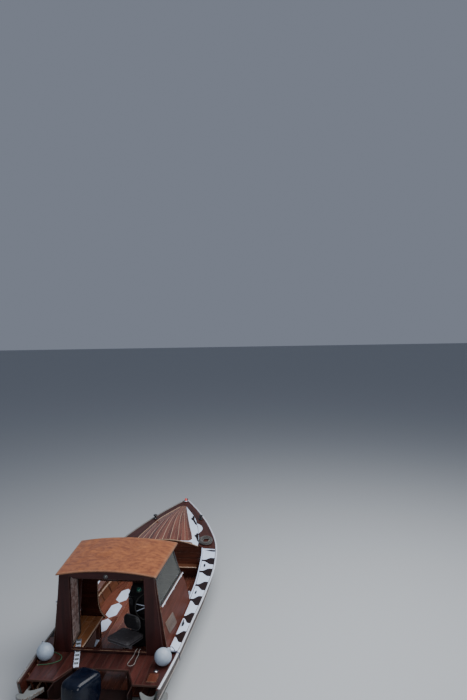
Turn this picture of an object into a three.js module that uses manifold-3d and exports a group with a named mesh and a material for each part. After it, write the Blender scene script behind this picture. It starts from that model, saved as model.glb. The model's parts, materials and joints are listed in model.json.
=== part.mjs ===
// A varnished wooden canal launch with a small wheelhouse and an outboard motor, in millimetres.
// +X points to the bow, +Y to port and +Z up. The origin is on the centreline at the waterline.
import * as THREE from "three";
import { mergeVertices } from "three/addons/utils/BufferGeometryUtils.js";
import Module from "manifold-3d";

const wasm = await Module();
wasm.setup();

// Hull lines: half widths at the sheer and at the chine, and heights of the chine and the keel line.
const HULL = [
  { x: -3480, beam: 952, chine: 784, chineZ: -55, keelZ: -158 },
  { x: -2600, beam: 1008, chine: 805, chineZ: -80, keelZ: -200 },
  { x: -1600, beam: 1040, chine: 825, chineZ: -100, keelZ: -230 },
  { x: -600, beam: 1082, chine: 840, chineZ: -110, keelZ: -250 },
  { x: 400, beam: 1083, chine: 815, chineZ: -100, keelZ: -250 },
  { x: 1300, beam: 970, chine: 665, chineZ: -40, keelZ: -215 },
  { x: 2100, beam: 697, chine: 405, chineZ: 110, keelZ: -100 },
  { x: 2700, beam: 403, chine: 180, chineZ: 340, keelZ: 130 },
  { x: 3100, beam: 165, chine: 55, chineZ: 620, keelZ: 460 },
  { x: 3300, beam: 32, chine: 14, chineZ: 860, keelZ: 780 },
];
const STERN_X = -3480; // where the side planking meets the transom
const BOW_X = 3300;
const STATIONS = 22; // sections along the hull
const SHEER = { mid: 616, slope: 0.05895, curve: 1.336e-5 }; // height of the deck edge, a parabola
const SIDE_T = 22; // thickness of the side planking
const BOTTOM_T = 28;
const SIDE_LEVELS = [0, 0.35, 0.7, 1]; // heights at which the side planking has a corner
const SIDE_BULGE = 14;
const FIT = 1.5; // gap between planks that follow each other round the hull
const GAP = 0.5; // gap between flat neighbours

// Side deck: half width of its inner edge, which the coaming and then the foredeck follow.
const DECK_T = 22;
const INNER_EDGE = [
  { x: -2470, y: 850 },
  { x: -1680, y: 866 },
  { x: -970, y: 877 },
  { x: -310, y: 878 },
  { x: 140, y: 856 },
  { x: 820, y: 800 },
  { x: 1060, y: 762 },
];
const FORE_EDGE = [
  { x: 1100, y: 662 },
  { x: 1500, y: 612 },
  { x: 1900, y: 512 },
  { x: 2350, y: 385 },
  { x: 2700, y: 215 },
  { x: 3000, y: 55 },
];
const SIDE_DECK_AFT_X = -2470; // aft of it only a narrow covering board is left
const COVER_W = 24;
const FOREDECK = { aft: 1100, fore: 3000, lift: 40, crown: 0.19 };
const RUB_T = 26;
const RUB_GAP = 3;
const RUB_AFT_X = -3476;
const STRIP = { half: 17, height: 14, out: 12, aft: -3472 };
const COAMING = { t: 17, clear: 5, up: 26, down: 130, aft: -930, fore: 1060 };

// Aft deck and the well for the motor.
const AFT_DECK = { aft: -3285, fore: -2470, top: 500, t: 22 };
const WELL = { fore: -2950, foreHalf: 400, aftHalf: 550, floor: 200, wall: 15 };
const TRANSOM = { aft: -3520, cutHalf: 300, cutZ: 260, shoulderHalf: 380, topZ: 366 };
// A horn-shaped knee fills each corner of the stern, its tip inboard of the transom.
const KNEE = { low: 370, high: 424, tip: 668, outPort: 972, outStarboard: 1052 };
const STRINGER = { low: 385, high: 425, depth: 24, aft: -3180, fore: 1100 };

const SOLE = { z: 112, t: 22, aft: -2900, fore: 1500 };
const BULKHEAD_X = 1120; // aft face of the bulkhead under the foredeck
const STEP = { aft: 975, top: 362, t: 24, half: 640 };

// Wheelhouse.
const HOUSE = { aft: -2545, pillarT: 50, doorHalf: 555, headZ: 1615, beamLow: 524, beamHigh: 554 };
const PILLAR_OUT = [
  { z: 502, y: 842 },
  { z: 620, y: 805 },
  { z: 1000, y: 772 },
  { z: 1635, y: 708 },
];
const ROOF = { aft: -2560, fore: -1320, eaveAft: 1676, eaveFore: 1718, halfAft: 742, halfFore: 794, rise: 70, t: 18 };
const LEAN = { y: 858, x: -2500, z: 570, perZ: -0.13, perX: 0.018 }; // outer face of the cabin sides
const PANEL = { aft: -2490, topAft: 1195, topFore: 1148, foreX: -1150, bulgeX: -925, lowX: -940, t: 18 };
const FRONT = { x: -1400, t: 20, topZ: 1140, doorPort: 530, doorLow: 508, doorStarboard: -50 };
const SCREEN = { x: -1165, z: 1166, rake: -0.493, t: 25, bar: 38, halfLow: 795, halfHigh: 735 };
const RAIL = { r: 9, off: 26, aft: -2470, fore: -1185, posts: [-2340, -1790, -1290] };

// Inside the wheelhouse.
const BENCH = { aft: -2430, fore: -1425, in: 450, out: 822, top: 500, t: 25, legW: 150,
  front: [[-2430, 115], [-1970, 115], [-1860, 228], [-1755, 290], [-1735, 480], [-2430, 480]] };
const CONSOLE = { port: -60, starboard: -735, face: -1690, back: -1402 };
const WHEEL = { x: -1825, y: -405, z: 885, r: 195, rim: 13, tilt: 32, shaft: 150 };
const SEAT = { x: -2160, y: -135, post: 495, width: 475, depth: 420, t: 85, yaw: 154, backAt: -165, backWidth: 350, backHigh: 262 };
const PLANK = { x: -2577, y: 462, length: 786, width: 78, t: 18, yaw: 16.8 };

// Outboard motor. The tilt pin lies across the boat, and the steering axis is upright when it is down.
const TILT = { x: -3556, z: 335 };
const STEER_X = -3675;
const STEER_REST = -21; // degrees, the motor lies turned as in the photograph
const PROP_Z = -395;

// Deck gear with its places on the deck.
const BOLLARDS = { x: 2350, y: 500, z: 847 };
const FENDERS = { x: -2780, y: 862, z: 624, r: 122, neck: [0.72, 0.5, 0.4813] };
const CLEAT = { x: -1700, y: -925 };
const COIL = { x: 1330, y: -775, z: 748.2, across: 0.124, along: 0.095, stretch: 1.38 };

// Ropes, along points chosen by hand. The lanyards are given for the port side.
const LANYARD = { d: 10, points: [[-2670.6, 938, 697.2], [-2657, 947, 704], [-2632, 966, 690], [-2608, 984, 645],
  [-2592, 998, 600], [-2581, 1009, 583], [-2571, 1026, 579], [-2563, 1046, 566], [-2560, 1051, 540], [-2558, 1051, 500],
  [-2556, 1050, 455]] };
const GREEN_ROPE = { d: 12, points: [[-2556, 905, 507], [-2570, 840, 507], [-2590, 780, 507], [-2630, 712, 507],
  [-2694, 655, 507], [-2765, 642, 507], [-2828, 680, 507], [-2880, 750, 507], [-2906, 815, 507], [-2916, 870, 507],
  [-2935, 925, 507]] };
const BEAM_ROPE = { d: 9, points: [[-2474, -455, 525], [-2474, -455, 550], [-2487, -455, 561.5], [-2520, -455, 565],
  [-2553, -454, 561.5], [-2566, -452, 550], [-2567, -450, 538], [-2572, -447, 519], [-2594, -443, 508], [-2640, -438, 505.5],
  [-2740, -445, 505.5], [-2805, -443, 505.5], [-2846, -408, 505.5], [-2830, -366, 505.5], [-2780, -352, 505.5],
  [-2700, -362, 505.5], [-2640, -370, 505.5], [-2594, -378, 508], [-2572, -384, 519], [-2567, -390, 538],
  [-2566, -396, 550], [-2553, -402, 561.5], [-2520, -406, 565], [-2487, -408, 561.5], [-2474, -410, 550], [-2474, -410, 525]] };

const wood = (color, roughness) => new THREE.MeshStandardMaterial({ color, roughness, metalness: 0 });
const metal = (color, roughness) => new THREE.MeshStandardMaterial({ color, roughness, metalness: 1 });
const VARNISH = wood(0x5a2410, 0.25);
const DARK_VARNISH = wood(0x32130c, 0.3);
const ROOF_VARNISH = wood(0x9a5522, 0.35);
const WHITE = wood(0xdfe3ee, 0.45);
const WEATHERED = wood(0x6d6258, 0.85);
const HULL_PAINT = wood(0x1b2622, 0.6);
const BLACK = wood(0x0c0d10, 0.5);
const COWL = wood(0x0b1426, 0.2);
const VINYL = wood(0x2c2b30, 0.5);
const RUBBER = wood(0x9aa4b4, 0.5);
const GLASS = new THREE.MeshStandardMaterial({ color: 0x5c6158, roughness: 0.08, transparent: true, opacity: 0.5 });
const CHROME = metal(0xc8ccd2, 0.15);
const RED = wood(0xb01810, 0.3);
const ROPE_BLUE = wood(0x1c2746, 0.9);
const ROPE_GREEN = wood(0x2f6b45, 0.9);
const ROPE_LIGHT = wood(0xb0a8a0, 0.9);

const rad = THREE.MathUtils.degToRad;

// A smooth value from a table, with slopes taken from the neighbouring rows.
function along(rows, x, column) {
  const last = rows.length - 1;
  if (x <= rows[0].x) return rows[0][column];
  if (x >= rows[last].x) return rows[last][column];
  const i = rows.findIndex((row) => row.x > x) - 1;
  const slope = (k) => {
    const a = rows[Math.max(k - 1, 0)];
    const b = rows[Math.min(k + 1, last)];
    return (b[column] - a[column]) / (b.x - a.x);
  };
  const h = rows[i + 1].x - rows[i].x;
  const t = (x - rows[i].x) / h;
  const t2 = t * t;
  const t3 = t2 * t;
  return (
    (2 * t3 - 3 * t2 + 1) * rows[i][column] +
    (t3 - 2 * t2 + t) * h * slope(i) +
    (3 * t2 - 2 * t3) * rows[i + 1][column] +
    (t3 - t2) * h * slope(i + 1)
  );
}

const sheer = (x) => SHEER.mid + SHEER.slope * x + SHEER.curve * x * x;
const beam = (x) => along(HULL, x, "beam");

// Corners of the outer face of the side planking at x, from the chine to the deck edge.
function sideCorners(x) {
  const chine = along(HULL, x, "chine");
  const low = along(HULL, x, "chineZ") + BOTTOM_T + FIT;
  const high = sheer(x) - DECK_T - FIT;
  const bulge = SIDE_BULGE * Math.min(1, (beam(x) - chine) / 100);
  return SIDE_LEVELS.map((t) => [chine + (beam(x) - chine) * t + bulge * 4 * t * (1 - t), low + (high - low) * t]);
}

// Half width inside the side planking at x and height z.
function innerHalf(x, z) {
  const c = sideCorners(x);
  const i = Math.max(1, c.findIndex((corner) => corner[1] >= z));
  const [a, b] = [c[i - 1], c[i]];
  const t = Math.max(0, (z - a[1]) / (b[1] - a[1]));
  return a[0] + (b[0] - a[0]) * t - SIDE_T - FIT;
}

// x positions of the hull sections between two ends, on the hull's own stations.
function stations(from, to) {
  const all = Array.from({ length: STATIONS + 1 }, (_, i) => STERN_X + ((BOW_X - STERN_X) * i) / STATIONS);
  return [from, ...all.filter((x) => x > from + 20 && x < to - 20), to];
}

// A closed solid through sections that are rings of [y, z] corners at rising x.
function loft(sections) {
  const flat = (ring) => ring.map(([y, z]) => new THREE.Vector2(y, z));
  const clockwise = THREE.ShapeUtils.isClockWise(flat(sections[0].ring));
  const rings = sections.map(({ ring }) => (clockwise ? [...ring].reverse() : ring));
  const points = rings.flatMap((ring, s) => ring.map(([y, z]) => [sections[s].x, y, z]));
  const n = rings[0].length;
  const end = (rings.length - 1) * n;
  const index = [];
  for (let a = 0; a < end; a++) {
    const b = a - (a % n) + (((a % n) + 1) % n);
    index.push(a, b, b + n, a, b + n, a + n);
  }
  for (const [a, b, c] of THREE.ShapeUtils.triangulateShape(flat(rings[0]), [])) index.push(a, c, b);
  for (const [a, b, c] of THREE.ShapeUtils.triangulateShape(flat(rings.at(-1)), []))
    index.push(end + a, end + b, end + c);
  const g = new THREE.BufferGeometry();
  g.setAttribute("position", new THREE.Float32BufferAttribute(points.flat(), 3));
  return g.setIndex(index);
}

const shapeOf = (points) => new THREE.Shape(points.map(([a, b]) => new THREE.Vector2(a, b)));

function extruded(points, depth, holes = []) {
  const shape = shapeOf(points);
  shape.holes = holes.map(shapeOf);
  return new THREE.ExtrudeGeometry(shape, { depth, bevelEnabled: false, curveSegments: 12 });
}

// Plates whose outline is given in a plane, from one face to the other.
const plateXY = (points, z0, z1, holes) => extruded(points, z1 - z0, holes).translate(0, 0, z0);
const plateXZ = (points, y0, y1, holes) => extruded(points, y1 - y0, holes).rotateX(Math.PI / 2).translate(0, y1, 0);
const plateYZ = (points, x0, x1, holes) =>
  extruded(points, x1 - x0, holes).rotateY(Math.PI / 2).rotateX(Math.PI / 2).translate(x0, 0, 0);

const box = (x0, x1, y0, y1, z0, z1) =>
  new THREE.BoxGeometry(x1 - x0, y1 - y0, z1 - z0).translate((x0 + x1) / 2, (y0 + y1) / 2, (z0 + z1) / 2);
const turned = (profile, sides = 20) =>
  new THREE.LatheGeometry(profile.map(([r, z]) => new THREE.Vector2(r, z)), sides).rotateX(Math.PI / 2);
const rod = (r, length, sides = 12) => new THREE.CylinderGeometry(r, r, length, sides);

function solid(geometry) {
  const g = geometry.clone();
  for (const name of ["normal", "uv"]) g.deleteAttribute(name);
  const merged = mergeVertices(g, 1e-3);
  const mesh = { numProp: 3, vertProperties: merged.attributes.position.array, triVerts: merged.index.array };
  return new wasm.Manifold(new wasm.Mesh({ ...mesh, triVerts: new Uint32Array(mesh.triVerts) }));
}

function geometryOf(body) {
  const mesh = body.getMesh();
  const g = new THREE.BufferGeometry();
  g.setAttribute("position", new THREE.BufferAttribute(new Float32Array(mesh.vertProperties), 3));
  return g.setIndex(new THREE.BufferAttribute(new Uint32Array(mesh.triVerts), 1));
}

const joined = (...parts) => geometryOf(parts.map(solid).reduce((a, b) => a.add(b)));
const cut = (from, ...tools) => geometryOf(tools.map(solid).reduce((a, b) => a.subtract(b), solid(from)));

// The same geometry on the other side of the boat, its faces turned back out.
function mirrored(geometry) {
  const g = (geometry.index ? geometry.toNonIndexed() : geometry.clone()).scale(1, -1, 1);
  const p = g.attributes.position;
  for (let i = 0; i < p.count; i += 3) {
    const b = [p.getX(i + 1), p.getY(i + 1), p.getZ(i + 1)];
    p.setXYZ(i + 1, p.getX(i + 2), p.getY(i + 2), p.getZ(i + 2));
    p.setXYZ(i + 2, ...b);
  }
  return g;
}

const boat = new THREE.Group();
function put(name, geometry, material, parent = boat) {
  const mesh = new THREE.Mesh(geometry, material);
  mesh.name = name;
  parent.add(mesh);
  return mesh;
}
function pair(name, geometry, material) {
  put(name + "_port", geometry, material);
  put(name + "_starboard", mirrored(geometry), material);
}

// Hull.
function bottom() {
  const sections = stations(STERN_X, BOW_X).map((x) => {
    const [c, cz, kz] = ["chine", "chineZ", "keelZ"].map((column) => along(HULL, x, column));
    return { x, ring: [[-c, cz], [0, kz], [c, cz], [c - 2, cz + BOTTOM_T], [0, kz + BOTTOM_T + 4], [2 - c, cz + BOTTOM_T]] };
  });
  return loft(sections);
}

function side() {
  const sections = stations(STERN_X, BOW_X).map((x) => {
    const outer = sideCorners(x);
    const inner = outer.map(([y, z]) => [Math.max(y - SIDE_T, 1), z]).reverse();
    return { x, ring: [...outer, ...inner] };
  });
  const stringer = stations(STRINGER.aft, STRINGER.fore).map((x) => {
    const face = innerHalf(x, STRINGER.high);
    const [out, inside] = [face + SIDE_T / 2, face - STRINGER.depth];
    return { x, ring: [[out, STRINGER.low], [out, STRINGER.high], [inside, STRINGER.high], [inside, STRINGER.low]] };
  });
  return joined(loft(sections), loft(stringer));
}

function keelAndStem() {
  const line = stations(STERN_X + 80, BOW_X).map((x) => [x, along(HULL, x, "keelZ") - GAP]);
  const low = line.map(([x, z], i) => {
    const a = line[Math.max(i - 1, 0)];
    const b = line[Math.min(i + 1, line.length - 1)];
    const run = Math.hypot(b[0] - a[0], b[1] - a[1]);
    return [x + (48 * (b[1] - a[1])) / run, z - (48 * (b[0] - a[0])) / run];
  });
  const head = [[BOW_X + 58, 905], [BOW_X + 62, 990], [BOW_X + GAP, 990]];
  return plateXZ([...low, ...head, ...line.reverse()].map(([x, z]) => [x, z]), -25, 25);
}

function transom() {
  const corners = sideCorners(STERN_X).map(([y, z]) => [y, z]);
  const low = [[0, along(HULL, STERN_X, "keelZ")], [along(HULL, STERN_X, "chine"), along(HULL, STERN_X, "chineZ")]];
  const half = [...low, corners[1], [beam(STERN_X) - 6, TRANSOM.topZ]];
  const top = [[TRANSOM.shoulderHalf, TRANSOM.topZ], [TRANSOM.cutHalf + 20, TRANSOM.cutZ + 25], [TRANSOM.cutHalf, TRANSOM.cutZ]];
  const right = [...half, ...top];
  const left = right.slice(1).map(([y, z]) => [-y, z]).reverse();
  return plateYZ([...right, ...left], TRANSOM.aft, STERN_X - GAP);
}

function rubStrake() {
  const sections = stations(RUB_AFT_X, BOW_X - 4).map((x) => {
    const [low, high] = sideCorners(x).slice(2);
    const top = sheer(x) - 1;
    const edge = beam(x);
    const lower = [[low[0] + RUB_GAP, low[1]], [low[0] + RUB_T, low[1]], [edge + RUB_T, high[1]]];
    return { x, ring: [...lower, [edge + RUB_T - 4, top], [edge + RUB_GAP, top], [edge + RUB_GAP, high[1]]] };
  });
  return loft(sections);
}

function gunwaleStrip() {
  const sections = stations(STRIP.aft, BOW_X - 4).map((x) => {
    const ring = [0, 36, 72, 108, 144, 180].map((a) => [
      beam(x) + STRIP.out + STRIP.half * Math.cos(rad(a)),
      sheer(x) + 2 + STRIP.height * Math.sin(rad(a)),
    ]);
    return { x, ring };
  });
  return loft(sections);
}

const foreLift = (x) => FOREDECK.lift * Math.min(1, Math.max(0, (x - 1040) / 60)) * (x < 2000 ? 1 : (3300 - x) / 1300);
const foreEdge = (x) => along(FORE_EDGE, x, "y");
function deckInner(x) {
  if (x < SIDE_DECK_AFT_X) return beam(x) - COVER_W;
  return x < FOREDECK.aft ? along(INNER_EDGE, x, "y") : Math.max(x > FOREDECK.fore ? 1.5 : foreEdge(x), 1.5);
}

function sideDeck() {
  const xs = stations(STERN_X, BOW_X - 10);
  const extra = [SIDE_DECK_AFT_X - 1, SIDE_DECK_AFT_X, 1060, FOREDECK.aft, FOREDECK.fore, FOREDECK.fore + 1];
  const all = [...xs, ...extra].sort((a, b) => a - b);
  const sections = all.map((x) => {
    const s = sheer(x);
    const up = x > 1040 ? foreLift(x) : 0;
    const inner = Math.min(deckInner(x), beam(x) - 8);
    return { x, ring: [[beam(x), s - DECK_T], [beam(x), s], [inner, s + up], [inner, s + up - DECK_T]] };
  });
  return loft(sections);
}

function foredeck() {
  const xs = stations(FOREDECK.aft, FOREDECK.fore);
  const sections = xs.map((x) => {
    const e = foreEdge(x) - FIT;
    const base = sheer(x) + foreLift(x);
    const across = Array.from({ length: 13 }, (_, i) => -e + (2 * e * i) / 12);
    const top = across.map((y) => [y, base + FOREDECK.crown * e * (1 - (y / e) ** 2)]);
    return { x, ring: [...top, ...top.map(([y, z]) => [y, z - DECK_T]).reverse()] };
  });
  return loft(sections);
}

function coaming() {
  const xs = stations(COAMING.aft, COAMING.fore);
  const sections = xs.map((x) => {
    const out = along(INNER_EDGE, x, "y") - COAMING.clear;
    const s = sheer(x);
    return { x, ring: [[out - COAMING.t, s - COAMING.down], [out, s - COAMING.down], [out, s + COAMING.up],
      [out - COAMING.t, s + COAMING.up]] };
  });
  return loft(sections);
}

function aftDeck() {
  const edge = (x) => [x, innerHalf(x, AFT_DECK.top - AFT_DECK.t)];
  const half = [edge(AFT_DECK.fore), edge(-2800), edge(-3100), edge(AFT_DECK.aft), [AFT_DECK.aft, WELL.aftHalf],
    [WELL.fore, WELL.foreHalf]];
  const other = half.map(([x, y]) => [x, -y]).reverse();
  return plateXY([...half, ...other], AFT_DECK.top - AFT_DECK.t, AFT_DECK.top);
}

function motorWell() {
  const end = STERN_X + 2;
  const outline = (t, fore) => [[fore, WELL.foreHalf + t], [AFT_DECK.aft, WELL.aftHalf + t], [end, WELL.aftHalf + t],
    [end, -WELL.aftHalf - t], [AFT_DECK.aft, -WELL.aftHalf - t], [fore, -WELL.foreHalf - t]];
  const top = AFT_DECK.top - AFT_DECK.t - GAP;
  const shell = plateXY(outline(WELL.wall, WELL.fore + WELL.wall), WELL.floor, top);
  const space = plateXY(outline(0, WELL.fore).map(([x, y]) => [x === end ? end - 20 : x, y]), WELL.floor + WELL.wall, top + 20);
  return cut(shell, space);
}

// The knee lies on the transom and wraps the end of the planking. To starboard it also runs forward outside.
function knee(out) {
  const spline = (points) => new THREE.SplineCurve(points.map(([x, y]) => new THREE.Vector2(x, y))).getPoints(12);
  const arm = out > KNEE.outPort;
  const inner = spline([[-3302, KNEE.tip + 6], [-3345, 722], [-3388, 780], [-3404, 830], [-3385, 864], [-3330, 874]]);
  const inside = innerHalf(STERN_X, KNEE.low) - 2;
  const face = [[-3250, inside - 6], [-3250, inside], [STERN_X - 5, inside], [STERN_X - 5, Math.min(out - 40, 984)]];
  const outside = arm ? [[-3310, 992], [-3284, 1010], [-3288, 1032]] : [];
  const outer = spline([arm ? [-3330, out - 4] : [STERN_X - 10, out - 8], [-3520, out], [-3578, 940], [-3606, 880], [-3590, 812],
    [-3500, 742], [-3400, 690], [-3330, KNEE.tip - 8]]);
  const flat = (points) => points.map((p) => [p.x, p.y]);
  return plateXY([...flat(inner), ...face, ...outside, ...flat(outer)], KNEE.low, KNEE.high);
}

function sole() {
  const sections = stations(SOLE.aft, SOLE.fore).map((x) => {
    const half = innerHalf(x, SOLE.z - SOLE.t) - 4;
    return { x, ring: [[-half, SOLE.z - SOLE.t], [half, SOLE.z - SOLE.t], [half, SOLE.z], [-half, SOLE.z]] };
  });
  return loft(sections);
}

function foreBulkhead() {
  const x = BULKHEAD_X;
  const e = foreEdge(x) - 8;
  const top = Array.from({ length: 9 }, (_, i) => {
    const y = e - (2 * e * i) / 8;
    return [y, sheer(x) + foreLift(x) + FOREDECK.crown * e * (1 - (y / e) ** 2) - DECK_T - 3];
  });
  const low = innerHalf(x + 20, SOLE.z + 2) - 4;
  return plateYZ([[-low, SOLE.z + 2], [low, SOLE.z + 2], ...top], x, x + 18);
}

// Wheelhouse. Its sides lean in and follow the deck, so each flat piece is made upright and then sheared.
function leaned(geometry) {
  const m = new THREE.Matrix4().makeShear(LEAN.perX, 0, 0, 0, 0, 0);
  m.set(1, 0, 0, 0, LEAN.perX, 1, LEAN.perZ, LEAN.y - LEAN.perX * LEAN.x - LEAN.perZ * LEAN.z, 0, 0, 1, 0, 0, 0, 0, 1);
  return geometry.applyMatrix4(m);
}

const roofHalf = (x) => ROOF.halfAft + ((ROOF.halfFore - ROOF.halfAft) * (x - ROOF.aft)) / (ROOF.fore - ROOF.aft);
const roofEave = (x) => ROOF.eaveAft + ((ROOF.eaveFore - ROOF.eaveAft) * (x - ROOF.aft)) / (ROOF.fore - ROOF.aft);
const roofTop = (x, y) => roofEave(x) + ROOF.rise * (1 - (y / roofHalf(x)) ** 2);
const underRoof = (x, y) => roofTop(x, y) - ROOF.t - 4;

// The roof with the two rails under its sides, which hold the side windows.
function roof() {
  const low = 1611;
  const outline = [[PANEL.aft, low], [-1460, low + 25], [-1460, low + 105], [PANEL.aft, low + 63]];
  const rail = leaned(plateXZ(outline, -30, -2));
  const sections = [ROOF.aft, ROOF.fore].map((x) => {
    const across = Array.from({ length: 17 }, (_, i) => roofHalf(x) * (i / 8 - 1));
    const top = across.map((y) => [y, roofTop(x, y)]);
    return { x, ring: [...top, ...top.map(([y, z]) => [y, z - ROOF.t]).reverse()] };
  });
  return joined(loft(sections), rail, mirrored(rail));
}

const arch = (x, from, to, steps) =>
  Array.from({ length: steps + 1 }, (_, i) => from + ((to - from) * i) / steps).map((y) => [y, underRoof(x, y)]);

// Two pillars with the header and the sill beam between them.
function rearFrame() {
  const x = HOUSE.aft;
  const outer = PILLAR_OUT.map(({ z, y }) => [y, z]);
  outer[outer.length - 1][1] = underRoof(x, PILLAR_OUT.at(-1).y);
  const half = [[HOUSE.doorHalf, AFT_DECK.top + 2], ...outer];
  const top = arch(x, outer.at(-1)[0], -outer.at(-1)[0], 12).slice(1, -1);
  const outline = [...half, ...top, ...half.map(([y, z]) => [-y, z]).reverse()];
  const frame = plateYZ([...outline, [-HOUSE.doorHalf, HOUSE.headZ], [HOUSE.doorHalf, HOUSE.headZ]], x, x + HOUSE.pillarT);
  const wide = HOUSE.doorHalf + 10;
  return joined(frame, box(x - 4, x + HOUSE.pillarT + 4, -wide, wide, HOUSE.beamLow, HOUSE.beamHigh));
}

function cabinSide() {
  const shape = new THREE.Shape();
  shape.moveTo(PANEL.aft, sheer(PANEL.aft) + 2);
  shape.lineTo(-1700, sheer(-1700) + 2);
  shape.lineTo(PANEL.lowX, sheer(PANEL.lowX) + 2);
  shape.quadraticCurveTo(PANEL.bulgeX + 20, 800, PANEL.foreX - 5, PANEL.topFore);
  shape.lineTo(PANEL.aft, PANEL.topAft);
  const g = new THREE.ExtrudeGeometry(shape, { depth: PANEL.t, bevelEnabled: false, curveSegments: 10 });
  return leaned(g.rotateX(Math.PI / 2));
}

const panelTop = (x) =>
  PANEL.topAft + ((PANEL.topFore - PANEL.topAft) * (x - PANEL.aft)) / (PANEL.foreX - PANEL.aft);

function sideWindow() {
  const top = 1608;
  const fore = PANEL.foreX - 38;
  const outline = [[PANEL.aft, panelTop(PANEL.aft) + 1], [fore, panelTop(fore) + 1], [-1428, top + 26], [PANEL.aft, top]];
  return leaned(plateXZ(outline, -12, -6));
}

function handrail() {
  const z = (x) => panelTop(x) + 12;
  const length = Math.hypot(RAIL.fore - RAIL.aft, z(RAIL.fore) - z(RAIL.aft));
  const tilt = Math.atan2(z(RAIL.fore) - z(RAIL.aft), RAIL.fore - RAIL.aft);
  const bar = rod(RAIL.r, length).rotateZ(-Math.PI / 2).rotateY(-tilt);
  bar.translate((RAIL.aft + RAIL.fore) / 2, RAIL.off, (z(RAIL.aft) + z(RAIL.fore)) / 2);
  const posts = RAIL.posts.map((x) => rod(7, RAIL.off + 6).translate(x, (RAIL.off + 6) / 2 + 1, z(x) - 16));
  const feet = RAIL.posts.map((x) => new THREE.SphereGeometry(12, 10, 8).translate(x, RAIL.off, z(x) - 10));
  return leaned(joined(bar, ...posts, ...feet));
}

function frontBulkhead() {
  const outline = [[-820, SOLE.z + 2], [820, SOLE.z + 2], [838, 560], [785, FRONT.topZ - 28], [-785, FRONT.topZ - 28],
    [-838, 560]];
  const door = [[FRONT.doorStarboard, SOLE.z - 20], [FRONT.doorLow, SOLE.z - 20], [FRONT.doorLow, 440], [430, 455],
    [432, 487], [474, 536], [505, 600], [FRONT.doorPort, 740], [FRONT.doorPort, FRONT.topZ - 28 - 30], [FRONT.doorStarboard, FRONT.topZ - 28 - 30]];
  const board = cut(plateYZ(outline, FRONT.x, FRONT.x + FRONT.t), plateYZ(door, FRONT.x - 20, FRONT.x + 40));
  const shelf = [[FRONT.x - 20, -772], [-1172, -782], [-1172, 782], [FRONT.x - 20, 772]];
  return joined(board, plateXY(shelf, FRONT.topZ - 28.5, FRONT.topZ));
}

const raked = (geometry) => {
  const m = new THREE.Matrix4().set(1, 0, SCREEN.rake, -SCREEN.rake * SCREEN.z, 0, 1, 0, 0, 0, 0, 1, 0, 0, 0, 0, 1);
  return geometry.applyMatrix4(m);
};
// Corners of one light of the windscreen, drawn in by a margin.
function lightOutline(inset) {
  const low = SCREEN.z + SCREEN.bar + inset;
  const high = 1628 - inset;
  return [[19 + inset, low], [SCREEN.halfLow - SCREEN.bar - inset, low], [SCREEN.halfHigh - SCREEN.bar + 2 - inset, high],
    [19 + inset, high]];
}

function screenFrame() {
  const top = arch(-1412, SCREEN.halfHigh, -SCREEN.halfHigh, 12);
  const outline = [[-SCREEN.halfLow, SCREEN.z], [SCREEN.halfLow, SCREEN.z], ...top];
  const light = plateYZ(lightOutline(0), SCREEN.x - 50, SCREEN.x + 50);
  return raked(cut(plateYZ(outline, SCREEN.x - SCREEN.t, SCREEN.x), light, mirrored(light)));
}

const screenGlass = () => raked(plateYZ(lightOutline(1), SCREEN.x - 15, SCREEN.x - 9));

// Inside.
function bench() {
  const board = box(BENCH.aft, BENCH.fore, BENCH.in, BENCH.out, BENCH.top - BENCH.t, BENCH.top);
  const leg = (x, low) => box(x, x + 20, low, BENCH.in + BENCH.legW, SOLE.z + 2, BENCH.top - 5);
  const cleat = box(BENCH.aft, BENCH.fore, BENCH.out - 24, BENCH.out, BENCH.top - 70, BENCH.top - 5);
  const front = plateXZ(BENCH.front, 468, 481);
  return joined(board, leg(BENCH.aft, BENCH.in), leg(BENCH.fore - 20, 515), front, cleat);
}

function helmConsole() {
  const c = CONSOLE;
  const outline = [[c.back, SOLE.z + 2], [c.back, 1060], [c.back - 90, 1060], [c.face, 985], [c.face + 20, 700],
    [c.face + 90, 610], [c.face + 90, SOLE.z + 2]];
  const shaft = rod(16, WHEEL.shaft).rotateX(Math.PI / 2).translate(0, 0, -46 - WHEEL.shaft / 2);
  return joined(plateXZ(outline, c.starboard, c.port), shaft.applyMatrix4(wheelPlace()));
}

function compass() {
  const slope = Math.atan2(1060 - 985, CONSOLE.back - 90 - CONSOLE.face);
  return turned([[0, 1], [48, 1], [50, 14], [40, 40], [22, 54], [0, 58]]).rotateY(-slope).translate(-1590, -214, 1023);
}

function throttle() {
  const base = box(-1735, -1691, -150, -85, 850, 960);
  const lever = rod(8, 120).translate(0, 60, 0).rotateZ(0.5).rotateX(Math.PI / 2).translate(-1712, -105, 940);
  const knob = new THREE.SphereGeometry(16, 12, 8).translate(-1770, -105, 1045);
  return joined(base, lever, knob);
}

function steeringWheel() {
  const rim = new THREE.TorusGeometry(WHEEL.r, WHEEL.rim, 8, 32);
  const hub = rod(34, 44, 16).rotateX(Math.PI / 2).translate(0, 0, -18);
  const spokes = [81, 114, 201, 234, 321, 354].map((a) => rod(8, WHEEL.r - 10, 8).translate(0, (WHEEL.r - 10) / 2 + 5, 0).rotateZ(rad(a - 90)));
  return joined(rim, hub, ...spokes);
}

// Local +Z of the wheel points up and aft, towards the helm seat.
function wheelPlace() {
  const turn = new THREE.Matrix4().makeRotationY(-Math.PI / 2 + rad(WHEEL.tilt));
  return turn.setPosition(WHEEL.x, WHEEL.y, WHEEL.z);
}

function seatPost() {
  return turned([[0, 0], [125, 0], [125, 12], [44, 26], [34, 40], [34, SEAT.post - SOLE.z - 2], [0, SEAT.post - SOLE.z - 2]]);
}

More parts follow.
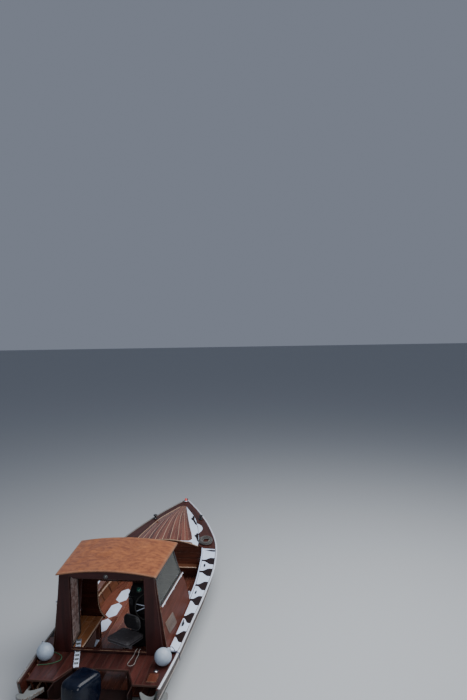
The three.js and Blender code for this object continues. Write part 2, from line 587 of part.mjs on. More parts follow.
function rounded(w, d, r) {
  const s = new THREE.Shape();
  s.moveTo(-w / 2 + r, -d / 2);
  s.lineTo(w / 2 - r, -d / 2);
  s.quadraticCurveTo(w / 2, -d / 2, w / 2, -d / 2 + r);
  s.lineTo(w / 2, d / 2 - r);
  s.quadraticCurveTo(w / 2, d / 2, w / 2 - r, d / 2);
  s.lineTo(-w / 2 + r, d / 2);
  s.quadraticCurveTo(-w / 2, d / 2, -w / 2, d / 2 - r);
  s.lineTo(-w / 2, -d / 2 + r);
  s.quadraticCurveTo(-w / 2, -d / 2, -w / 2 + r, -d / 2);
  return s;
}
const slab = (w, d, r, h) => new THREE.ExtrudeGeometry(rounded(w, d, r), { depth: h, bevelEnabled: false, curveSegments: 4 });

const seatCushion = () =>
  joined(slab(260, 240, 20, 12).translate(0, 0, 1), slab(SEAT.depth, SEAT.width, 60, SEAT.t).translate(0, 0, 12));

// Outboard motor, in a frame whose origin is on the steering axis at the waterline and whose +X is forward.
function clampBracket() {
  const side = [[82, -65], [82, -105], [94, -105], [94, -53], [26, -53], [26, 30], [-24, 30], [-26, 0], [0, -345], [35, -345],
    [35, -65]].map(([x, z]) => [TILT.x + x, TILT.z + z]);
  const arm = (y) => plateXZ(side, y - 13, y + 13);
  const pin = rod(12, 236).translate(TILT.x, 0, TILT.z);
  const lug = box(TILT.x - 6, TILT.x + 35, -112, 112, TILT.z - 345, TILT.z - 321);
  return joined(arm(105), arm(-105), lug, pin);
}

function swivelBracket() {
  const x = TILT.x;
  const body = plateXZ([[x - 20, TILT.z - 26], [x + 20, TILT.z - 22], [x + 22, TILT.z + 24], [x - 40, TILT.z + 30],
    [STEER_X - 40, TILT.z + 30], [STEER_X - 40, 26], [STEER_X + 40, 26], [x - 38, 80], [x - 38, 260]], -70, 70);
  const pinHole = rod(12.6, 200).translate(x, 0, TILT.z);
  const shaftHole = rod(27, 900).rotateX(Math.PI / 2).translate(STEER_X, 0, 200);
  return cut(body, pinHole, shaftHole);
}

function cowling() {
  const layer = (z, fore, aft, halfFore, halfAft, r) => ({ z, fore, aft, halfFore, halfAft, r });
  const layers = [
    layer(408, 118, -225, 112, 100, 40),
    layer(445, 172, -240, 148, 134, 50),
    layer(620, 222, -246, 168, 154, 55),
    layer(745, 226, -236, 168, 154, 55),
    layer(806, 210, -212, 153, 141, 50),
    layer(830, 165, -170, 118, 106, 40),
  ];
  const ring = (l) => {
    const corner = (cx, cy, from) => [0, 30, 60, 90].map((a) => {
      const t = rad(from + a);
      return [cx + l.r * Math.cos(t), cy + l.r * Math.sin(t)];
    });
    return [
      ...corner(l.fore - l.r, l.halfFore - l.r, 0),
      ...corner(l.aft + l.r, l.halfAft - l.r, 90),
      ...corner(l.aft + l.r, -l.halfAft + l.r, 180),
      ...corner(l.fore - l.r, -l.halfFore + l.r, 270),
    ];
  };
  // The loft runs along x, so the layers are stacked on x and then stood up.
  const g = loft(layers.map((l) => ({ x: l.z, ring: ring(l) })));
  return g.applyMatrix4(new THREE.Matrix4().set(0, 1, 0, 0, 0, 0, 1, 0, 1, 0, 0, 0, 0, 0, 0, 1));
}

function midsection() {
  const pan = slab(300, 230, 60, 36).translate(-75, 0, 368);
  const shaft = rod(25, 420, 16).rotateX(Math.PI / 2).translate(0, 0, 180);
  const leg = slab(150, 78, 30, 570).translate(-150, 0, -196);
  const yoke = box(-150, 25, -26, 26, -30, 14);
  const arm = box(-60, 90, -22, 22, 370, 386);
  return joined(pan, shaft, leg, yoke, arm);
}

function gearcase() {
  const leg = slab(150, 70, 30, 160).translate(-150, 0, -358);
  const plate = slab(300, 170, 60, 12).translate(-190, 0, -236);
  const torpedo = new THREE.LatheGeometry(
    [[0, 175], [22, 160], [42, 110], [50, 40], [50, -60], [44, -118], [0, -118]].reverse().map(([r, z]) => new THREE.Vector2(r, z)), 20,
  ).rotateZ(-Math.PI / 2).translate(-150, 0, PROP_Z);
  const skeg = plateXZ([[-90, PROP_Z - 30], [-220, PROP_Z - 30], [-230, PROP_Z - 175], [-150, PROP_Z - 175]], -6, 6);
  return joined(leg, plate, torpedo, skeg);
}

function propeller() {
  const hub = rod(38, 96, 20).rotateZ(Math.PI / 2).translate(0, 0, 0);
  const blades = [0, 120, 240].map((a) => {
    const s = new THREE.Shape();
    s.moveTo(-26, 25);
    s.quadraticCurveTo(-70, 90, -30, 150);
    s.quadraticCurveTo(20, 172, 44, 130);
    s.quadraticCurveTo(60, 70, 26, 25);
    const g = new THREE.ExtrudeGeometry(s, { depth: 8, bevelEnabled: false, curveSegments: 5 }).translate(0, 0, -4);
    return g.rotateY(rad(35)).rotateX(Math.PI / 2).rotateX(rad(a));
  });
  return joined(hub, ...blades);
}

// Deck gear.
const bollard = () => turned([[0, 0], [42, 0], [42, 8], [22, 16], [20, 58], [40, 68], [42, 82], [26, 92], [0, 94]]);

function cleat() {
  const horn = rod(9, 150, 10).rotateZ(Math.PI / 2).translate(0, 0, 34);
  const foot = (x) => rod(10, 34, 10).rotateX(Math.PI / 2).translate(x, 0, 17);
  return joined(horn, foot(-28), foot(28), box(-50, 50, -16, 16, 0, 6));
}

function lamp() {
  return turned([[0, 0], [34, 0], [34, 10], [28, 14], [28, 50], [22, 62], [0, 66]]);
}

// A round fender whose neck points outboard, to the rail that its lanyard is tied over.
function fender() {
  const ball = new THREE.SphereGeometry(FENDERS.r, 24, 16);
  const neck = rod(26, 40, 12).translate(0, FENDERS.r + 6, 0);
  const turn = new THREE.Quaternion().setFromUnitVectors(new THREE.Vector3(0, 1, 0), new THREE.Vector3(...FENDERS.neck));
  return joined(ball, neck.applyQuaternion(turn));
}

// Ropes, each a round tube along points chosen by hand.
function rope({ points, d: diameter }) {
  const path = new THREE.CatmullRomCurve3(points.map((p) => new THREE.Vector3(...p)), false, "centripetal");
  const ring = new THREE.Shape(Array.from({ length: 8 }, (_, i) => {
    const a = (i * Math.PI) / 4;
    return new THREE.Vector2((Math.cos(a) * diameter) / 2, (Math.sin(a) * diameter) / 2);
  }));
  const steps = Math.min(80, Math.round(path.getLength() / (2.5 * diameter)));
  return new THREE.ExtrudeGeometry(ring, { steps, extrudePath: path, bevelEnabled: false });
}

// A coil of mooring rope, lying on the slope of the deck.
function coil() {
  const tube = (r, z) => [-60, 0, 60].map((a) => [r + 11 * Math.cos(rad(a)), z + 11 * Math.sin(rad(a))]);
  const ring = turned([[48, 2], [124, 2], ...tube(124, 13), ...tube(112, 33), [60, 44], [48, 30], [48, 2]], 24);
  return ring.scale(COIL.stretch, 1, 1).rotateX(Math.atan(COIL.across)).rotateY(-Math.atan(COIL.along)).translate(COIL.x, COIL.y, COIL.z);
}

// Assembly.
put("bottom", bottom(), HULL_PAINT);
pair("side", side(), HULL_PAINT);
put("keel_and_stem", keelAndStem(), DARK_VARNISH);
put("transom", transom(), DARK_VARNISH);
pair("rub_strake", rubStrake(), WEATHERED);
pair("gunwale_strip", gunwaleStrip(), CHROME);
pair("side_deck", sideDeck(), WHITE);
boat.getObjectByName("side_deck_port").material = VARNISH;
put("foredeck", foredeck(), VARNISH);
pair("coaming", coaming(), WHITE);
put("aft_deck", aftDeck(), VARNISH);
put("motor_well", motorWell(), DARK_VARNISH);
put("quarter_knee_port", knee(KNEE.outPort), WHITE);
put("quarter_knee_starboard", mirrored(knee(KNEE.outStarboard)), WHITE);
put("sole", sole(), VARNISH);
put("fore_bulkhead", foreBulkhead(), DARK_VARNISH);
put("bow_step", box(STEP.aft, BULKHEAD_X - GAP, -STEP.half, STEP.half, STEP.top - STEP.t, STEP.top), VARNISH);

put("rear_frame", rearFrame(), DARK_VARNISH);
put("roof", roof(), ROOF_VARNISH);
pair("cabin_side", cabinSide(), VARNISH);
pair("side_window", sideWindow(), GLASS);
pair("handrail", handrail(), CHROME);
put("front_bulkhead", frontBulkhead(), DARK_VARNISH);
put("windscreen_frame", screenFrame(), BLACK);
pair("windscreen", screenGlass(), GLASS);

put("bench", bench(), VARNISH);
put("helm_console", helmConsole(), BLACK);
put("compass", compass(), BLACK);
put("throttle", throttle(), BLACK);
put("steering_wheel", steeringWheel(), BLACK).applyMatrix4(wheelPlace());
put("seat_post", seatPost(), CHROME).position.set(SEAT.x, SEAT.y, SOLE.z + 2);

const seat = new THREE.Group();
seat.position.set(SEAT.x, SEAT.y, SEAT.post);
seat.rotation.z = rad(SEAT.yaw);
boat.add(seat);
put("seat_cushion", seatCushion(), VINYL, seat);
put("seat_back", slab(60, SEAT.backWidth, 26, SEAT.backHigh).translate(SEAT.backAt, 0, SEAT.t + 13), BLACK, seat);

put("boarding_plank", box(-PLANK.length / 2, PLANK.length / 2, -PLANK.width / 2, PLANK.width / 2, 0, PLANK.t), WHITE);
boat.children.at(-1).position.set(PLANK.x, PLANK.y, AFT_DECK.top + 3);
boat.children.at(-1).rotation.z = rad(PLANK.yaw);

pair("bollard", bollard().translate(BOLLARDS.x, BOLLARDS.y, BOLLARDS.z), BLACK);
put("bow_lamp", lamp().translate(BOW_X - 60, 0, sheer(BOW_X - 60) + 12), RED);
put("deck_cleat", cleat().translate(CLEAT.x, CLEAT.y, sheer(CLEAT.x) + 1), BLACK);
pair("fender", fender().translate(FENDERS.x, FENDERS.y, FENDERS.z), RUBBER);
pair("fender_lanyard", rope(LANYARD), ROPE_BLUE);
put("green_rope", rope(GREEN_ROPE), ROPE_GREEN);
put("beam_rope", rope(BEAM_ROPE), ROPE_LIGHT);
put("rope_coil", coil(), ROPE_LIGHT);
put("clamp_bracket", clampBracket(), COWL);
put("swivel_bracket", swivelBracket(), COWL);
const motor = new THREE.Group();
motor.position.x = STEER_X;
motor.rotation.z = rad(STEER_REST);
boat.add(motor);
put("cowling", cowling(), COWL, motor);
put("midsection", midsection(), COWL, motor);
put("gearcase", gearcase(), COWL, motor);
put("propeller", propeller(), COWL, motor).position.set(-322, 0, PROP_Z);

export default boat;
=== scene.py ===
# %% [markdown]
# # A small varnished canal launch
#
# This is a wooden motor boat as they lie in the side canals of a lagoon city: a decked bow, an open
# cockpit, a wheelhouse that is open at the back, and an outboard motor on the transom. The solid model
# is already made. Here each of its pieces gets the surface that the real boat shows.
#
# The boat lies in one frame for everything: +X points to the bow, +Y to port and +Z up. The origin is
# on the centreline at the waterline, and lengths are in metres.

# %% Load the imported model
import bpy
import json
import random
from math import atan, atan2, copysign, cos, hypot, pi, radians, sin
from mathutils import Matrix, Vector
from mathutils.geometry import tessellate_polygon
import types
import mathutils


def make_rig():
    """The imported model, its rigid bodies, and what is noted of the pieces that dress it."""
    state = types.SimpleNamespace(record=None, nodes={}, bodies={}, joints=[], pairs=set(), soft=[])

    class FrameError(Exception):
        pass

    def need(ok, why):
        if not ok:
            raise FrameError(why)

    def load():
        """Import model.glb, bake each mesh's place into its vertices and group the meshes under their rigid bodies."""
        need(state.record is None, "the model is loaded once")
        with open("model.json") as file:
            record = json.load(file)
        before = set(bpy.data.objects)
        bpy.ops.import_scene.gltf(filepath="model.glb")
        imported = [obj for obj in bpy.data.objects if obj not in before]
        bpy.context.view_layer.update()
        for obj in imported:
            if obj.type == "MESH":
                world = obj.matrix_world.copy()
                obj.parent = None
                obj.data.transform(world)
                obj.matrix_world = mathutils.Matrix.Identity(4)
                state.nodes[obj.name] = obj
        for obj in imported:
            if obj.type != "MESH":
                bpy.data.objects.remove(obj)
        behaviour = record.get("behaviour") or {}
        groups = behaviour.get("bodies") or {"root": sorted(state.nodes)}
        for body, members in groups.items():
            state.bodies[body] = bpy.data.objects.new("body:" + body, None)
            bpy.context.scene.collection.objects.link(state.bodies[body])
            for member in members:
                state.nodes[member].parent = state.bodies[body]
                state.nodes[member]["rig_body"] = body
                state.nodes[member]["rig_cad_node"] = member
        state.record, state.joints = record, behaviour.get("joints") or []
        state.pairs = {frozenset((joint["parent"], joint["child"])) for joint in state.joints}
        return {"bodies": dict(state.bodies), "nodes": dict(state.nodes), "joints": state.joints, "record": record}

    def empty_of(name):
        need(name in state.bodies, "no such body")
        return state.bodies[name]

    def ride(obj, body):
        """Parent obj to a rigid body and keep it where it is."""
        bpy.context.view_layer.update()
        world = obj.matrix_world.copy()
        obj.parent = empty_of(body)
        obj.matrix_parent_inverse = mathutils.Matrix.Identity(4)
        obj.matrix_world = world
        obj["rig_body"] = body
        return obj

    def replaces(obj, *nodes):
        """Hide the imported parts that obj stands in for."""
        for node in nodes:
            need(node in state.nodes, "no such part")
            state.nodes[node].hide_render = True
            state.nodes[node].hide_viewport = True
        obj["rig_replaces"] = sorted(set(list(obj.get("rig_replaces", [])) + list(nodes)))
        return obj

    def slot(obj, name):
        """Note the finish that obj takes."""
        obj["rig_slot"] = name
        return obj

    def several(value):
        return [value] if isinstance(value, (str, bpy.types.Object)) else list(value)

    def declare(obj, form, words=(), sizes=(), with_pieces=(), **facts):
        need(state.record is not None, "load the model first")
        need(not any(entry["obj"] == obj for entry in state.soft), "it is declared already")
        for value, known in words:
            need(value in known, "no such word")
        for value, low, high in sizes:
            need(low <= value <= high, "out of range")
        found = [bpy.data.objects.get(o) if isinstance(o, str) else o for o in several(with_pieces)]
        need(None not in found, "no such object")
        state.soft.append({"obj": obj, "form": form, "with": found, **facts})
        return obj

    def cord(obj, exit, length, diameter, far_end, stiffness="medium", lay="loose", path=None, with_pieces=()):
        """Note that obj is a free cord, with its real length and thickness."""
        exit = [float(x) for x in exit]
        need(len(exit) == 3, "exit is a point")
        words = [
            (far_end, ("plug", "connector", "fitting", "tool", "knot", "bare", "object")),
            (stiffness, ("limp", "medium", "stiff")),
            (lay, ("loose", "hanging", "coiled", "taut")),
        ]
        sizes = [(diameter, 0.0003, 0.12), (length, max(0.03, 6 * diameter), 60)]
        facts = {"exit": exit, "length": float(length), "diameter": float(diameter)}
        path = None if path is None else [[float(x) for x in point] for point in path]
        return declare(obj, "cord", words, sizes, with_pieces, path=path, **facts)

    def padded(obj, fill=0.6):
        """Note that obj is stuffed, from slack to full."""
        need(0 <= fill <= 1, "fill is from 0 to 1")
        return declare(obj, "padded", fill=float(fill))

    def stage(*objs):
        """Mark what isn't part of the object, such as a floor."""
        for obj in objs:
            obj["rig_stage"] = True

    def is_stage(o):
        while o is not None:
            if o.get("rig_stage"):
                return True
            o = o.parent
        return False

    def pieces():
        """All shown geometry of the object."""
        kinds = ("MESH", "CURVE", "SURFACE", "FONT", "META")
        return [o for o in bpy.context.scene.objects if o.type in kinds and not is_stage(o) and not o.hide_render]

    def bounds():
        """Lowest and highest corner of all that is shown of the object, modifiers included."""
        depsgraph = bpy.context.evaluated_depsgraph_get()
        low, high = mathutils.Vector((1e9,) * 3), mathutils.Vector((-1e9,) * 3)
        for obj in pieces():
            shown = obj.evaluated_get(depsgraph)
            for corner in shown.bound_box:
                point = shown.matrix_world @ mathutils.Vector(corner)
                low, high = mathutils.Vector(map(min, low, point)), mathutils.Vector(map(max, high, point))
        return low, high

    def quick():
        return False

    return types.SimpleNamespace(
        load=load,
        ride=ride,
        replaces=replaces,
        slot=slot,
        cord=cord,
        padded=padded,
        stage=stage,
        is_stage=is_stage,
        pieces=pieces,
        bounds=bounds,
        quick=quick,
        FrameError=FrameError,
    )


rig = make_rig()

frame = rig.load()
cad_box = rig.bounds()
print("nodes:", len(frame["nodes"]), "bodies:", sorted(frame["bodies"]))

# %% [markdown]
# ## The camera
#
# The photographer stands on a bridge behind the boat, on its starboard quarter, and looks almost level
# along the canal. So the camera is placed in the boat's own frame: where the photographer's eye is, and
# how far the view is turned from the boat's heading, pitched down and rolled.

# %% Place the camera
EYE = Vector((-11.695, -3.132, 5.666))
HEADING = radians(7.424)
PITCH = radians(4.754)
ROLL = radians(-1.498)
FOCAL_PX = 680.0
PHOTO_HEIGHT = 700

camera_data = bpy.data.cameras.new("camera")
camera = bpy.data.objects.new("camera", camera_data)
bpy.context.scene.collection.objects.link(camera)
camera_data.sensor_width = 36.0
camera_data.lens = FOCAL_PX / PHOTO_HEIGHT * camera_data.sensor_width
aim = Matrix.Rotation(HEADING - pi / 2, 3, "Z") @ Matrix.Rotation(pi / 2 - PITCH, 3, "X")
camera.matrix_world = Matrix.Translation(EYE) @ (aim @ Matrix.Rotation(ROLL, 3, "Z")).to_4x4()
bpy.context.scene.camera = camera
print("lens:", round(camera_data.lens, 2), "mm")

# %% [markdown]
# ## Shader sums
#
# Varnish, peeling paint and rope are all sums of a few noises. A node tree that is drawn by hand hides
# such a sum, so one small class wraps a socket: a + b, 1 - mask or noise * 0.3 then adds its own Math
# node. Any other node comes from `node`, which takes its type, its settings and its sockets' values.

# %% A socket that can be added and multiplied
class Shade:
    def __init__(self, tree, socket=None, kind="value"):
        self.tree = tree
        self.socket = socket
        self.kind = kind

    def node(self, node_type, settings=None, values=None, out=0, kind="value"):
        made = self.tree.nodes.new(node_type)
        for name, value in (settings or {}).items():
            setattr(made, name, value)
        for name, value in (values or {}).items():
            if isinstance(value, Shade):
                self.tree.links.new(value.socket, made.inputs[name])
            else:
                made.inputs[name].default_value = value
        return Shade(self.tree, made.outputs[out], kind)

    def sum(self, operation, first, second):
        if self.kind == "value":
            return self.node("ShaderNodeMath", {"operation": operation}, {0: first, 1: second})
        triple = [(v, v, v) if isinstance(v, (int, float)) else v for v in (first, second)]
        return self.node("ShaderNodeVectorMath", {"operation": operation}, dict(enumerate(triple)),
            kind=self.kind)

    def __add__(self, other):
        return self.sum("ADD", self, other)

    def __radd__(self, other):
        return self.sum("ADD", other, self)

    def __sub__(self, other):
        return self.sum("SUBTRACT", self, other)

    def __rsub__(self, other):
        return self.sum("SUBTRACT", other, self)

    def __mul__(self, other):
        return self.sum("MULTIPLY", self, other)

    def __rmul__(self, other):
        return self.sum("MULTIPLY", other, self)

    def ramp(self, low, high):
        """0 below low, 1 above high, and a soft step between them."""
        settings = {"interpolation_type": "SMOOTHSTEP"}
        return self.node("ShaderNodeMapRange", settings, {"Value": self, "From Min": low, "From Max": high})

    def blend(self, first, second):
        """The first colour where this mask is 0, the second where it is 1."""
        colours = [(*c, 1.0) if isinstance(c, tuple) else c for c in (first, second)]
        settings = {"data_type": "RGBA", "clamp_factor": True}
        return self.node("ShaderNodeMix", settings, {0: self, 6: colours[0], 7: colours[1]}, out=2,
            kind="colour")

    def noise(self, scale, detail=3.0, rough=0.5):
        """Noise over these coordinates. Its scale is in features per metre, one or one for each axis."""
        values = {"Vector": self * scale, "Scale": 1.0, "Detail": detail, "Roughness": rough}
        return self.node("ShaderNodeTexNoise", {}, values)

    def cells(self, scale, out="Distance", feature="F1"):
        return self.node("ShaderNodeTexVoronoi", {"feature": feature}, {"Vector": self * scale, "Scale": 1.0},
            out)

    def axis(self, index):
        return self.node("ShaderNodeSeparateXYZ", {}, {0: self}, out=index)


# %% [markdown]
# ## One way to make a finish
#
# Each finish is a Principled surface. Its fixed numbers, such as how rough the clear coat is, sit on the
# shader's own sockets. What changes over the surface comes from a recipe: colour, roughness, how thick
# the coat is, and a height that becomes a bump. Pieces carry three attributes for the recipes: `grain`
# runs along each board, `tone` differs from board to board, and `edge` is 1 on worn corners; on a rope,
# `edge` marks the grooves between strands, where shade is painted.

# %% Make a finish from a recipe
def finish(name, recipe, **fixed):
    material = bpy.data.materials.new(name)
    material.use_nodes = True
    tree = material.node_tree
    surface = tree.nodes["Principled BSDF"]
    for socket, value in fixed.items():
        surface.inputs[socket.replace("_", " ")].default_value = value
    start = Shade(tree)
    made = recipe(start)
    depth = made.pop("depth", 0.001)
    if "height" in made:
        values = {"Strength": 1.0, "Distance": depth, "Height": made.pop("height")}
        made["Normal"] = start.node("ShaderNodeBump", {}, values)
    for socket, value in made.items():
        tree.links.new(value.socket, surface.inputs[socket])
    return material


def attribute(start, name, kind="value"):
    out = {"value": "Fac", "vector": "Vector"}[kind]
    return start.node("ShaderNodeAttribute", {"attribute_name": name}, {}, out=out, kind=kind)


def place(start):
    """The boat's own coordinates, which don't slide when a piece moves."""
    return start.node("ShaderNodeTexCoord", {}, {}, out="Object", kind="vector")


# %% [markdown]
# ## Wood and varnish
#
# Mahogany shows three things at once: a slow figure along the board, a fine fibre a millimetre wide,
# and dark pores. The varnish lies over it as a clear coat, thin on the worn corners. Pieces of the solid
# model have no `grain`, so for them the grain runs along one of the boat's axes.

# %% Varnished mahogany
def wood_recipe(dark, light, worn, shine=0.3, coat=0.5, axis=None):
    def recipe(start):
        if axis is None:
            run = attribute(start, "grain", "vector")
            tone = attribute(start, "tone")
            edge = attribute(start, "edge")
        else:
            run = place(start)
            tone = run.noise(0.8, 1.0)
            edge = run.noise(3.0, 2.0).ramp(0.62, 0.9)
        turn = {None: (0, 1, 2), "y": (1, 0, 2), "z": (2, 1, 0)}[axis]
        scale = lambda along_it, across: tuple((along_it, across, across)[i] for i in turn)
        slow = run.noise(scale(1.1, 14.0), 4.0, 0.6)
        ribbon = run.noise(scale(9.0, 5.0), 2.0, 0.5)
        fibre = run.noise(scale(7.0, 260.0), 3.0, 0.7)
        pore = run.noise(scale(30.0, 900.0), 1.0).ramp(0.62, 0.74)
        mask = slow.ramp(0.3, 0.72) * 0.55 + fibre * 0.3 + ribbon * 0.25 + tone * 0.5 - 0.3
        colour = (pore * 0.45).blend(mask.blend(dark, light), tuple(c * 0.35 for c in dark))
        wear = (edge * run.noise(scale(9.0, 40.0), 3.0)).ramp(0.3, 0.62)
        dust = run.noise(2.2, 4.0, 0.65).ramp(0.45, 0.8)
        return {
            "Base Color": (wear * 0.75).blend(colour, worn),
            "Roughness": wear * 0.35 + dust * 0.16 + (shine - 0.06),
            "Coat Weight": (1 - wear) * (1 - dust * 0.45) * coat,
            "height": fibre * 0.5 - pore * 0.8 + slow * 0.4,
            "depth": 0.0005,
        }
    return recipe


WORN, DARK_WORN = (0.3, 0.19, 0.12), (0.06, 0.032, 0.024)
COAT = {"Coat_Roughness": 0.1, "Coat_IOR": 1.45, "Specular_IOR_Level": 0.25}


def wood(name, dark, light, worn=WORN, shine=0.3, coat=0.5, axis=None):
    return finish(name, wood_recipe(dark, light, worn, shine, coat, axis), **COAT)


mahogany = wood("mahogany", (0.032, 0.011, 0.008), (0.125, 0.038, 0.022))
dark_mahogany = wood("dark_mahogany", (0.012, 0.004, 0.003), (0.048, 0.012, 0.008))
red_mahogany = wood("red_mahogany", (0.06, 0.019, 0.013), (0.22, 0.075, 0.048), shine=0.24)
lining_wood = wood("lining_wood", (0.06, 0.022, 0.012), (0.165, 0.064, 0.034), WORN, 0.4, 0.2)
# The pinkish, mottled tone of coaming_wood is a painted reflection of a sunlit brick wall on the wood.
coaming_wood = wood("coaming_wood", (0.12, 0.065, 0.055), (0.3, 0.18, 0.155), WORN, 0.4, 0.2)
pillar_wood = wood("pillar_wood", (0.014, 0.003, 0.003), (0.046, 0.011, 0.01), DARK_WORN, 0.5, 0.1)
# Near-black wood: the real dark wood of the bells, and painted shade for the motor well's lining.
shadow_wood = wood("shadow_wood", (0.005, 0.002, 0.002), (0.018, 0.006, 0.005), DARK_WORN, 0.5, 0.08)
# The aft deck's caulk is darker than the foredeck's: painted shade.
dim_caulk = wood("dim_caulk", (0.034, 0.019, 0.015), (0.08, 0.046, 0.036), DARK_WORN, 0.6, 0.05)
edge_wood = wood("edge_wood", (0.018, 0.006, 0.005), (0.07, 0.022, 0.016), DARK_WORN, 0.45, 0.12)
# pale_edge is coloured lighter than the wood is, as painted light on the bench edge.
pale_edge = wood("pale_edge", (0.52, 0.38, 0.28), (0.8, 0.62, 0.48), WORN, 0.5, 0.1)
roof_trim = wood("roof_trim", (0.13, 0.06, 0.034), (0.3, 0.155, 0.09), WORN, 0.45, 0.2)
# bench_wood is coloured lighter than the wood is, as painted light on the bench.
bench_wood = wood("bench_wood", (0.26, 0.1, 0.044), (0.58, 0.26, 0.115))
trim_wood = wood("pale_trim", (0.34, 0.23, 0.16), (0.56, 0.42, 0.32), WORN, 0.4)
dull_trim = wood("dull_trim", (0.065, 0.042, 0.034), (0.15, 0.11, 0.09), WORN, 0.5, 0.15)
# aft_wood is darker than the same mahogany forward: dark varnished wood with painted shade.
aft_wood = wood("aft_deck_wood", (0.022, 0.007, 0.006), (0.09, 0.027, 0.022), DARK_WORN, 0.34, 0.35)
cabin_wood = finish("cabin_wood", wood_recipe((0.066, 0.018, 0.011), (0.125, 0.037, 0.022), WORN, 0.6, 0.03),
    Coat_Roughness=0.3, Specular_IOR_Level=0.08)
solid_wood = {axis: wood("dark_mahogany_" + axis, (0.012, 0.004, 0.003), (0.048, 0.012, 0.008), axis=axis)
    for axis in "yz"}
print("materials with the woods:", len(bpy.data.materials))

# %% [markdown]
# The roof is a sheet of plywood under old varnish. Its face veneer was peeled from the log, so the
# figure runs in wide, wandering flames, and rain has left paler, duller patches in the varnish.

# %% Roof plywood
def roof_recipe(start):
    run = attribute(start, "grain", "vector")
    warp = run.noise(1.3, 2.0) * 0.55
    flames = (run + warp).noise((16.0, 10.0, 1.0), 5.0, 0.7)
    fibre = run.noise((7.0, 170.0, 40.0), 3.0, 0.7)
    patch = run.noise((2.4, 3.4, 2.0), 4.0, 0.6).ramp(0.42, 0.72)
    speck = run.noise((26.0, 60.0, 26.0), 2.0).ramp(0.66, 0.76)
    stain = run.noise((1.1, 1.6, 1.0), 3.0, 0.5).ramp(0.5, 0.75)
    edge = attribute(start, "edge")
    mask = flames.ramp(0.3, 0.7) * 0.7 + fibre * 0.3 + patch * 0.2 - 0.1
    colour = mask.blend((0.135, 0.036, 0.01), (0.36, 0.122, 0.036))
    colour = (stain * 0.35).blend(colour, (0.17, 0.075, 0.04))
    colour = (speck * 0.7).blend(colour, (0.05, 0.02, 0.012))
    return {
        "Base Color": (edge * 0.3).blend(colour, (0.34, 0.18, 0.1)),
        "Roughness": patch * 0.2 + 0.32,
        "Coat Weight": (1 - patch * 0.6) * 0.5,
        "height": fibre * 0.5 + flames * 0.6 - speck * 0.5,
        "depth": 0.0006,
    }


roof_plywood = finish("roof_plywood", roof_recipe, Coat_Roughness=0.18)

# %% [markdown]
# ## Paint
#
# The white paint has brush marks along it, grey dirt that collects in patches, and chips on the corners
# where the wood shows; its blue cast is painted sky light. On the starboard side deck the white itself is a
# painted reflection of the sky on varnished wood. The rub strake takes all the knocks: its paint is mostly
# gone, and what is left lies in flakes over grey, cracked timber. Below it the planking is nearly black,
# with a green line of weed where the water laps.

# %% Deck paint and old paint
def paint_recipe(paint, dirt, wood, dirty=0.5):
    def recipe(start):
        run = attribute(start, "grain", "vector")
        edge = attribute(start, "edge")
        brush = run.noise((5.0, 190.0, 90.0), 2.0, 0.6)
        cloud = run.noise((2.6, 5.0, 5.0), 5.0, 0.62).ramp(0.45, 0.8)
        chip = (edge * run.noise((26.0, 60.0, 60.0), 4.0, 0.6)).ramp(0.48, 0.56)
        spot = run.noise(45.0, 2.0).ramp(0.7, 0.78)
        colour = (cloud * dirty).blend(paint, dirt)
        colour = (spot * 0.5).blend(colour, dirt)
        return {
            "Base Color": chip.blend(colour, wood),
            "Roughness": cloud * 0.2 + brush * 0.1 + chip * 0.3 + 0.28,
            "height": brush * 0.35 - chip * 1.0 - spot * 0.2,
            "depth": 0.0006,
        }
    return recipe


def weathered_recipe(start):
    run = attribute(start, "grain", "vector")
    grey = run.noise((2.0, 60.0, 60.0), 5.0, 0.7)
    flake = run.noise((9.0, 22.0, 22.0), 6.0, 0.68).ramp(0.5, 0.56)
    crack = run.noise((3.0, 210.0, 210.0), 2.0, 0.5).ramp(0.6, 0.7)
    rust = run.noise((3.2, 6.0, 6.0), 3.0, 0.6).ramp(0.6, 0.78)
    colour = grey.ramp(0.3, 0.7).blend((0.05, 0.036, 0.03), (0.17, 0.135, 0.115))
    colour = (flake * 0.8).blend(colour, (0.075, 0.07, 0.085))
    colour = (rust * 0.6).blend(colour, (0.16, 0.085, 0.05))
    return {
        "Base Color": (crack * 0.7).blend(colour, (0.02, 0.015, 0.013)),
        "Roughness": 0.92 - flake * 0.25,
        "height": flake * 0.6 + grey * 0.5 - crack * 0.9,
        "depth": 0.0014,
    }


# The white's blue cast is painted sky light.
white_paint = finish("white_paint", paint_recipe((0.62, 0.71, 0.88), (0.3, 0.31, 0.37), (0.2, 0.13, 0.1),
    0.42))
pale_paint = finish("pale_paint", paint_recipe((0.15, 0.16, 0.16), (0.09, 0.09, 0.085), (0.1, 0.07, 0.055),
    0.7))
moulding_paint = finish("moulding_paint", paint_recipe((0.4, 0.36, 0.33), (0.17, 0.14, 0.12),
    (0.12, 0.08, 0.06), 0.8))
weathered_paint = finish("weathered_paint", weathered_recipe)


